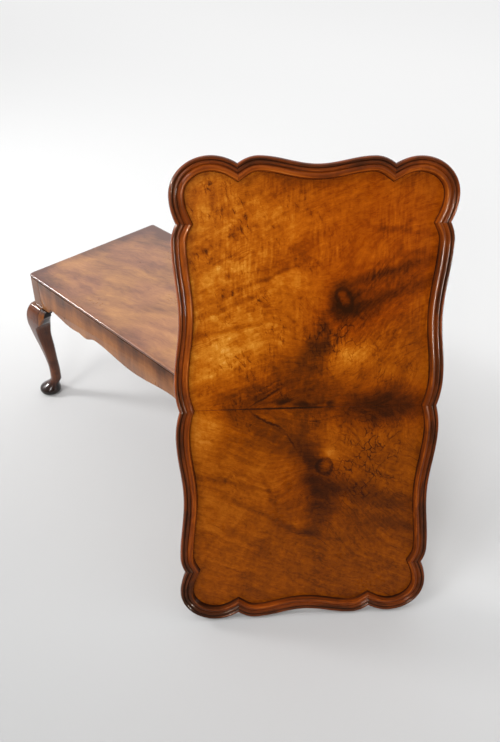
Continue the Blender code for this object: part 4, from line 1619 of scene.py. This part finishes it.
@dataclass
class CabrioleLegs(TableFrame):
    """Four cabriole legs with pad feet, and the ear blocks beside their knees."""

    corner_radius: float = 0.0100
    ledge: float = 0.0050
    knee_reach: float = 0.0210
    knee_arris: float = 0.0090
    knee_hollow: float = 0.0300
    knee_swell: float = 0.7
    knee_crowding: float = 1.6
    first_step: float = 0.0005
    sharp: float = 0.0010
    shin_round: float = 0.0095
    shin_fullness: float = 0.47
    ankle_height: float = 0.0850
    ankle_radius: float = 0.0145
    ankle_inset: float = 0.0180
    instep: float = 0.0360
    foot_height: float = 0.0120
    foot_radius: float = 0.0295
    foot_inset: float = 0.0032
    foot_fullness: float = 0.96
    sole_radius: float = 0.0230
    ear_drop: float = 0.0500
    ear_tip: float = 0.0160
    ear_taper: float = 0.25
    ear_arris: float = 0.0012
    ear_arris_turn: float = 50.0
    crease: float = 46.0
    corner_steps: int = 8
    knee_steps: int = 15
    shin_steps: int = 24
    foot_steps: int = 12
    ear_steps: int = 14
    ear_rises: int = 10

    @property
    def knee(self) -> float:
        """Height of the ears' feet."""
        return self.shoulder - self.ear_drop

    def reach(self, height: float) -> float:
        """How far the knee and its ears stand out at a height."""
        share = max(self.shoulder - height, 0.0) / self.ear_drop
        return self.ledge + (self.knee_reach - self.ledge) * math.sin(share**self.knee_swell * math.pi / 2)

    def corner(self, spot: Vector, inward: tuple[int, int], radius: float, fullness: float) -> list[Vector]:
        """Round or chamfer one corner of a section.

        Args:
            spot: The sharp corner.
            inward: Signs of the way to the section's middle.
            radius: The corner's radius.
            fullness: 1 for an arc, 0 for a chamfer.

        Returns:
            The corner's points.
        """
        same = inward[0] * inward[1] > 0
        start, end = (Vector((0, 1)), Vector((1, 0))) if same else (Vector((1, 0)), Vector((0, 1)))
        points = []
        for step in range(self.corner_steps + 1):
            share = step / self.corner_steps
            arc = start * (1 - math.sin(share * math.pi / 2)) + end * (1 - math.cos(share * math.pi / 2))
            offset = (start * (1 - share) + end * share).lerp(arc, fullness) * radius
            points.append(spot + Vector((offset.x * inward[0], offset.y * inward[1])))
        return points

    def section(
        self, out: float, inner: float, radii: Sequence[float], height: float, fullness: float = 1.0
    ) -> list[Vector]:
        """A section of the leg, with the post's outer corner at zero.

        Args:
            out: How far it stands out past the outer faces.
            inner: Where its inner faces are.
            radii: Radii of the outer corner, the next, the inner one and the last.
            height: Its height.
            fullness: How round the inner corner is.

        Returns:
            Its points.
        """
        spots = ((-out, -out), (inner, -out), (inner, inner), (-out, inner))
        inward = ((1, 1), (-1, 1), (-1, -1), (1, -1))
        points = []
        for spot, way, radius, full in zip(spots, inward, radii, (1.0, 1.0, fullness, 1.0)):
            points += self.corner(Vector(spot), way, radius, full)
        return [Vector((point.x, point.y, height)) for point in points]

    def shin(self) -> list[tuple[float, float, float, float]]:
        """The leg's shape from the knee to the instep.

        Returns:
            Keys as height, reach, inner face and radius.
        """
        outer, inner = self.ankle_radius - self.ankle_inset, self.ankle_inset + self.ankle_radius

        def at(share: float) -> float:
            """Height at a share of the way up from ankle to knee."""
            return self.ankle_height + share * (self.knee - self.ankle_height)

        return [
            (at(0.91), self.knee_reach - 0.0008, inner - 0.0048, self.shin_round - 0.0015),
            (at(0.70), self.knee_reach - 0.0065, inner - 0.0068, self.shin_round),
            (at(0.45), outer + 0.41 * (self.knee_reach - outer), inner - 0.0040, self.shin_round + 0.0015),
            (at(0.21), outer + 0.0033, inner - 0.0022, self.shin_round + 0.0030),
            (self.ankle_height, outer, inner, self.ankle_radius),
            (self.instep + 0.012, outer, inner, self.ankle_radius),
        ]

    def foot(self) -> list[Triple]:
        """The pad foot's shape.

        Returns:
            Keys as height, the middle's inset and radius.
        """
        rise = self.instep - self.foot_height
        return [
            (self.instep, self.ankle_inset - 0.0050, self.ankle_radius + 0.0012),
            (self.foot_height + 0.62 * rise, self.foot_inset + 0.0042, self.foot_radius - 0.0078),
            (self.foot_height + 0.27 * rise, self.foot_inset + 0.0008, self.foot_radius - 0.0019),
            (self.foot_height, self.foot_inset, self.foot_radius),
            (self.foot_height * 0.38, self.foot_inset, self.foot_radius - 0.0014),
            (0.0, self.foot_inset, self.sole_radius),
        ]

    @staticmethod
    def between(keys: Sequence[tuple[float, ...]], height: float) -> list[float]:
        """Read keys at a height on a smooth curve.

        Args:
            keys: Heights and values, from high to low.
            height: The height to read at.

        Returns:
            The values there.
        """
        spot = max(number for number in range(len(keys) - 1) if height <= keys[number][0])
        before, start, end, after = (keys[min(max(number, 0), len(keys) - 1)] for number in range(spot - 1, spot + 3))
        span = start[0] - end[0]
        share = (start[0] - height) / span
        values = []
        for part in range(1, len(start)):
            slope_start = (end[part] - before[part]) / (before[0] - end[0]) * span
            slope_end = (after[part] - start[part]) / (start[0] - after[0]) * span
            rise = end[part] - start[part]
            bend = (slope_start - rise) * (1 - share) - (slope_end - rise) * share
            values.append(start[part] + rise * share + share * (1 - share) * bend)
        return values

    def leg_rings(self) -> list[list[Vector]]:
        """Sections of a leg.

        Returns:
            The sections, from the post's top to the sole.
        """
        post = (self.corner_radius, self.sharp, self.sharp, self.sharp)
        rings = [self.section(0.0, self.post, post, height) for height in (self.frame_top - self.gap, self.shoulder)]
        knee = (self.knee_arris, self.sharp, self.knee_hollow, self.sharp)
        for step in range(self.knee_steps + 1):
            share = max((step / self.knee_steps) ** self.knee_crowding, self.first_step)
            height = self.shoulder - share * self.ear_drop
            rings.append(self.section(self.reach(height), self.post, knee, height, 0.0))
        shin = self.shin()
        for step in range(self.shin_steps + 1):
            height = shin[0][0] + step / self.shin_steps * (shin[-1][0] - shin[0][0])
            out, inner, radius = self.between(shin, height)
            radius = min(radius, self.shin_fullness * (out + inner))
            rings.append(self.section(out, inner, (radius,) * 4, height))
        foot = self.foot()
        for step in range(self.foot_steps + 1):
            height = foot[0][0] * (1 - step / self.foot_steps)
            inset, radius = self.between(foot, height)
            corners = (self.foot_fullness * radius,) * 4
            rings.append(self.section(radius - inset, radius + inset, corners, height))
        return rings

    def ear_rings(self) -> list[list[Vector]]:
        """Sections of an ear block along the corner's x.

        Returns:
            The sections, from the knee to the ear's tip.
        """
        top, back = self.shoulder - self.gap, self.post - self.knee_hollow
        rings = []
        for step in range(self.ear_steps + 1):
            share = step / self.ear_steps
            along = self.post + self.gap + share * self.ear_length
            drop = (self.ear_drop - self.ear_tip - self.gap) * (1 - math.cos(math.pi * share)) / 2
            bottom = self.knee + self.gap + drop
            taper = 1 - self.ear_taper * share**2
            ring = [Vector((along, back, bottom))]
            for rise in range(self.ear_rises + 1):
                height = bottom + (top - bottom) * rise / self.ear_rises
                ring.append(Vector((along, -self.reach(height) * taper, height)))
            ring.append(Vector((along, back, top)))
            rings.append(ring)
        return rings

    def build(self, leg_finish: Material, ear_finish: Material) -> None:
        """Model one leg and one ear, and copy them to the four corners.

        Args:
            leg_finish: The legs' finish.
            ear_finish: The ears' finish.
        """
        leg = Workbench.sweep("leg_pattern", self.leg_rings())
        ear = Workbench.sweep("ear_pattern", self.ear_rings())
        Workbench.soften(ear, self.ear_arris, self.ear_arris_turn)
        for pattern in (leg, ear):
            Workbench.smooth(pattern, self.crease)
        spots = (("front_left", self.low.x, self.low.y), ("front_right", self.high.x, self.low.y))
        spots += (("back_right", self.high.x, self.high.y), ("back_left", self.low.x, self.high.y))
        swap = Matrix(((0, 1, 0, 0), (1, 0, 0, 0), (0, 0, 1, 0), (0, 0, 0, 1)))
        for quarter, (name, x, y) in enumerate(spots):
            spot = Matrix.Translation((x, y, 0.0)) @ Matrix.Rotation(quarter * math.pi / 2, 4, "Z")
            Workbench.settle(Workbench.twin(leg, f"shown_leg_{name}", spot), Body.TABLE, Slot.LEG, leg_finish)
            ways = (spot, spot @ swap) if quarter % 2 == 0 else (spot @ swap, spot)
            for way, move in zip(("side", "end"), ways):
                piece = Workbench.twin(ear, f"shown_ear_{name}_{way}", move)
                Workbench.settle(piece, Body.TABLE, Slot.LEG, ear_finish)
        for pattern in (leg, ear):
            bpy.data.objects.remove(pattern)


@dataclass
class Aprons(TableFrame):
    """Four aprons with shaped lower edges."""

    table_height: float = 0.400
    thickness: float = 0.0180
    run_depth: float = 0.0765
    cove: float = 0.0140
    hump_depth: float = 0.0890
    dip_depth: float = 0.0745
    dip_at: float = 0.1450
    lobe_depth: float = 0.0895
    inner_lobe_at: float = 0.1890
    notch_at: float = 0.2150
    notch_depth: float = 0.0855
    outer_lobe_at: float = 0.2480
    end_dip_at: float = 0.0620
    end_lobe_at: float = 0.0920
    arris: float = 0.0010
    arris_turn: float = 60.0
    steps: int = 10

    def long_keys(self, cove_at: float) -> list[Key]:
        """Half of a long apron's lower edge.

        Args:
            cove_at: Where the cove by the leg starts, from the middle.

        Returns:
            Keys as places from the middle and depths below the table's upper face.
        """
        return [
            Key(0.0, self.hump_depth),
            Key(self.dip_at, self.dip_depth),
            Key(self.inner_lobe_at, self.lobe_depth),
            Key(self.notch_at, self.notch_depth, Turn.NOTCH),
            Key(self.outer_lobe_at, self.lobe_depth),
            Key(cove_at, self.run_depth),
        ]

    def short_keys(self, cove_at: float) -> list[Key]:
        """Half of a short apron's lower edge.

        Args:
            cove_at: Where the cove by the leg starts, from the middle.

        Returns:
            Keys as places from the middle and depths below the table's upper face.
        """
        return [
            Key(0.0, self.hump_depth),
            Key(self.end_dip_at, self.dip_depth),
            Key(self.end_lobe_at, self.lobe_depth),
            Key(cove_at, self.run_depth),
        ]

    def outline(self, half: float, keys: Sequence[Key]) -> list[tuple[float, float]]:
        """An apron's face, between its posts.

        Args:
            half: Half its length.
            keys: Half its lower edge.

        Returns:
            Points along the apron and up.
        """
        tab_at = half - self.ear_length
        edge = [(along, self.table_height - depth) for along, depth, _ in shaped_line(keys, self.steps)]
        tab = self.shoulder + self.gap
        drop = self.table_height - self.run_depth - tab
        for step in range(1, self.steps + 1):
            turn = step / self.steps * math.pi / 2
            edge.append((tab_at - self.cove * math.cos(turn), tab + drop * (1 - math.sin(turn))))
        edge.append((half, tab))
        edge.append((half, self.frame_top - self.gap))
        return [(-along, up) for along, up in reversed(edge[1:])] + edge

    def pattern(self, name: str, half: float, keys: Sequence[Key]) -> Object:
        """Model an apron along X, with its face at y = 0.

        Args:
            name: The pattern's name.
            half: Half its length.
            keys: Half its lower edge.

        Returns:
            The pattern.
        """
        face = self.outline(half, keys)
        rings = [[Vector((along, back, up)) for along, up in face] for back in (0.0, self.thickness)]
        piece = Workbench.sweep(name, rings)
        Workbench.soften(piece, self.arris, self.arris_turn)
        Workbench.smooth(piece)
        return piece

    def build(self, long_finish: Material, short_finish: Material) -> None:
        """Model a long and a short apron, and copy each to its two sides.

        Args:
            long_finish: The long aprons' finish.
            short_finish: The short aprons' finish.
        """
        middle = (self.low + self.high) / 2
        spans = ((self.high.x - self.low.x) / 2, (self.high.y - self.low.y) / 2)
        inner = self.post + self.gap
        cove_at = [span - inner - self.ear_length - self.cove for span in spans]
        patterns = (
            self.pattern("long_apron", spans[0] - inner, self.long_keys(cove_at[0])),
            self.pattern("short_apron", spans[1] - inner, self.short_keys(cove_at[1])),
        )
        for quarter, name in enumerate(("front", "right", "back", "left")):
            kind = quarter % 2
            out = Matrix.Translation((0.0, -spans[1 - kind], 0.0))
            move = Matrix.Translation((middle.x, middle.y, 0.0)) @ Matrix.Rotation(quarter * math.pi / 2, 4, "Z") @ out
            piece = Workbench.twin(patterns[kind], f"shown_apron_{name}", move)
            Workbench.settle(piece, Body.TABLE, Slot.FRAME, (long_finish, short_finish)[kind])
        for pattern in patterns:
            bpy.data.objects.remove(pattern)


class SoftBox(NamedTuple):
    """A light: its name, place, aim, width and height, power in watts, and whether it shows only as a glint."""

    name: str
    place: Triple
    aim: Triple
    size: tuple[float, float]
    power: float
    gloss_only: bool = False


@dataclass
class Studio:
    """Pale floor, soft light and the camera."""

    middle: Vector
    floor_size: float = 40.0
    floor_drop: float = 0.0004
    floor_front: Triple = (0.20, -0.98, 0.0)
    floor_span: tuple[float, float] = (-4.5, 2.2)
    floor_clouds: float = 0.6
    floor_sway: float = 0.3
    floor_roughness: float = 0.85
    floor_greys: tuple[tuple[float, int], ...] = ((0.0, 253), (0.4, 238), (0.64, 226), (0.86, 178), (1.0, 140))
    room_front: Triple = (0.68, -0.66, 0.10)
    room_span: tuple[float, float] = (-0.1, 0.8)
    camera_reach: Triple = (1.10530, -0.99783, 1.37775)
    heading: float = math.radians(42.615)
    pitch: float = math.radians(38.275)
    roll: float = math.radians(2.4717)
    lens: float = 34.683
    sensor: float = 36.0
    sky_light: float = 1.12
    room_light: float = 0.33
    lights: tuple[SoftBox, ...] = (
        SoftBox("window", (-2.4, -1.5, 1.5), (-0.3, 0.0, 0.4), (0.5, 0.25), 44.0),
        SoftBox("key", (-0.4, -2.2, 2.9), (0.15, 0.0, 0.4), (1.0, 1.0), 34.0),
        SoftBox("lamp", (1.15, -2.05, 1.70), (0.3, 0.0, 0.45), (0.8, 0.8), 24.0),
        SoftBox("window_glint", (-2.78, -1.5, 1.5), (-0.3, 0.0, 0.4), (0.42, 0.10), 29.0, gloss_only=True),
        SoftBox("side_glint", (3.0, 0.7, 0.75), (0.5, 0.0, 0.6), (0.4, 0.5), 90.0, gloss_only=True),
        SoftBox("lamp_glint", (1.15, -2.05, 1.70), (0.3, 0.0, 0.45), (0.13, 0.13), 46.0, gloss_only=True),
    )

    def build(self) -> None:
        """Make the floor, the light and the camera."""
        self.make_floor()
        self.make_world()
        for box in self.lights:
            self.make_light(box)
        self.make_camera()
        bpy.context.scene.view_settings.view_transform = "Standard"

    def make_floor(self) -> None:
        """Lay the floor."""
        Workbench.clear()
        bpy.ops.mesh.primitive_plane_add(size=self.floor_size, location=(0.0, 0.0, -self.floor_drop))
        floor = bpy.context.active_object
        floor.name = "floor"
        material, board, shader = new_material("pale_floor")
        # Painted shade: the floor is painted near white behind the table and darker towards the front.
        greys = [(at, paint(grey, grey, grey)) for at, grey in self.floor_greys]
        colour = board.ramp(self.nearness(board), greys)
        board.fill(shader, Base_Color=colour, Roughness=self.floor_roughness, Specular_IOR_Level=0.0)
        floor.data.materials.append(material)

    def nearness(self, board: Board) -> Socket:
        """How near the floor lies to the front: 0 far behind the table, 1 well in front of it."""
        swayed = board.warp(board.place(), self.floor_clouds, self.floor_sway)
        return board.spread(board.facing(swayed, self.floor_front), *self.floor_span)

    def make_world(self) -> None:
        """Light the scene softly from all round, with a dimmer room at the front."""
        world = bpy.data.worlds.new("studio")
        world.use_nodes = True
        board = Board(world.node_tree)
        front = board.facing(board.node("ShaderNodeTexCoord").outputs["Generated"], self.room_front)
        strength = board.spread(front, *self.room_span, self.sky_light, self.room_light)
        board.fill(world.node_tree.nodes["Background"], Color=(1.0, 1.0, 1.0, 1.0), Strength=strength)
        bpy.context.scene.world = world

    @staticmethod
    def make_light(box: SoftBox) -> None:
        """Hang a soft box.

        Args:
            box: The light.
        """
        data = bpy.data.lights.new(box.name, "AREA")
        data.shape = "RECTANGLE"
        data.size, data.size_y = box.size
        data.energy = box.power
        light = bpy.data.objects.new(box.name, data)
        light.visible_diffuse = not box.gloss_only
        light.location = box.place
        light.rotation_mode = "QUATERNION"
        light.rotation_quaternion = (Vector(box.aim) - Vector(box.place)).to_track_quat("-Z", "Y")
        bpy.context.scene.collection.objects.link(light)

    def make_camera(self) -> None:
        """Stand the camera where the picture was taken from."""
        data = bpy.data.cameras.new("camera")
        data.lens = self.lens
        data.sensor_width = self.sensor
        camera = bpy.data.objects.new("camera", data)
        turn = Matrix.Rotation(self.heading, 4, "Z") @ Matrix.Rotation(math.pi / 2 - self.pitch, 4, "X")
        place = Vector((self.middle.x, self.middle.y, 0.0)) + Vector(self.camera_reach)
        camera.matrix_world = Matrix.Translation(place) @ turn @ Matrix.Rotation(self.roll, 4, "Z")
        bpy.context.scene.collection.objects.link(camera)
        bpy.context.scene.camera = camera


def main() -> None:
    """Build the classes in order."""
    logging.basicConfig(level=logging.INFO, format="%(message)s")
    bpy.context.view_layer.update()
    effects = Effects()
    stand = TrayStand().matrix(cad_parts["tray_board"])
    turn = tuple(stand.to_euler())
    origin = tuple(stand.translation)
    along_x, along_y, along_z = ZERO, (0.0, 0.0, math.pi / 2), (0.0, -math.pi / 2, 0.0)

    rim = RimWalnut(origin, turn).material(effects)
    TrayRim(stand).build(rim)
    veneer = BurrVeneer(origin, turn).material(effects)
    for leaf in ("tray_veneer_upper", "tray_veneer_lower"):
        Workbench.dress_node(leaf, veneer)

    low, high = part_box("table_top")
    top = TopWalnut(
        "top_walnut", (0.0, 0.0, math.radians(17.0)),
        shades((96, 62, 48), (138, 92, 62), (170, 118, 72), (194, 144, 90), (210, 168, 114)),
        streaks=16.0, waviness=0.10, cloudiness=0.50, figure=0.45, shine=0.30, coat_roughness=0.05,
        ripple=0.10, low=tuple(low.xy), high=tuple(high.xy), top=high.z,
    ).material(effects)
    TableTop(low, high).build(top)
    frame_stops = shades((60, 36, 24), (106, 64, 38), (144, 92, 52), (176, 118, 64), (198, 144, 88))
    long_apron, short_apron = (
        ApronWalnut(f"{kind}_apron_walnut", way, frame_stops, figure=0.35, coat=0.15, shine=0.22).material(effects)
        for kind, way in (("long", along_x), ("short", along_y))
    )
    Aprons(low, high).build(long_apron, short_apron)
    carved = {"streaks": 34.0, "waviness": 0.02, "roughness": 0.24, "coat_roughness": 0.05, "shine": 0.15}
    leg_stops = shades((22, 12, 8), (52, 25, 13), (84, 42, 20), (116, 62, 30), (146, 88, 46))
    leg = LegWalnut("leg_walnut", along_z, leg_stops, cloudiness=0.5, dirt=0.20, **carved).material(effects)
    # The ears' stops are a lighter, lit copy of the legs' walnut: painted light on the ears' faces.
    lit_ear_stops = shades((22, 13, 9), (80, 42, 16), (128, 72, 27), (160, 98, 40), (186, 128, 62))
    ear = EarWalnut(
        "ear_walnut", along_z, lit_ear_stops, dirt=0.15, low=tuple(low.xy), high=tuple(high.xy), **carved
    ).material(effects)
    CabrioleLegs(low, high).build(leg, ear)

    bare_stops = shades((110, 78, 50), (140, 104, 68), (164, 126, 86), (184, 148, 106), (196, 164, 124))
    bare = {"cloudiness": 0.15, "figure": 1.0, "roughness": 0.72, "coat": 0.0, "dirt": 0.15}
    lengthwise = tuple((stand @ Matrix.Rotation(math.pi / 2, 4, "Z")).to_euler())
    bare_table, bare_tray = (
        PlainWalnut(name, way, bare_stops, **bare).material(effects)
        for name, way in (("bare_wood", along_x), ("bare_tray", lengthwise))
    )
    for name in ("tray_board", "tray_fillet_right", "tray_fillet_left", "tray_fillet_upper", "tray_fillet_lower"):
        Workbench.dress_node(name, bare_tray)
    steel = ScrewSteel().material(effects)
    for number in range(1, 7):
        Workbench.dress_node(f"top_button_{number}", bare_table)
        Workbench.dress_node(f"button_screw_{number}", steel)

    Studio((low + high) / 2).build()
    Workbench.clear()


if __name__ == "__main__":
    main()
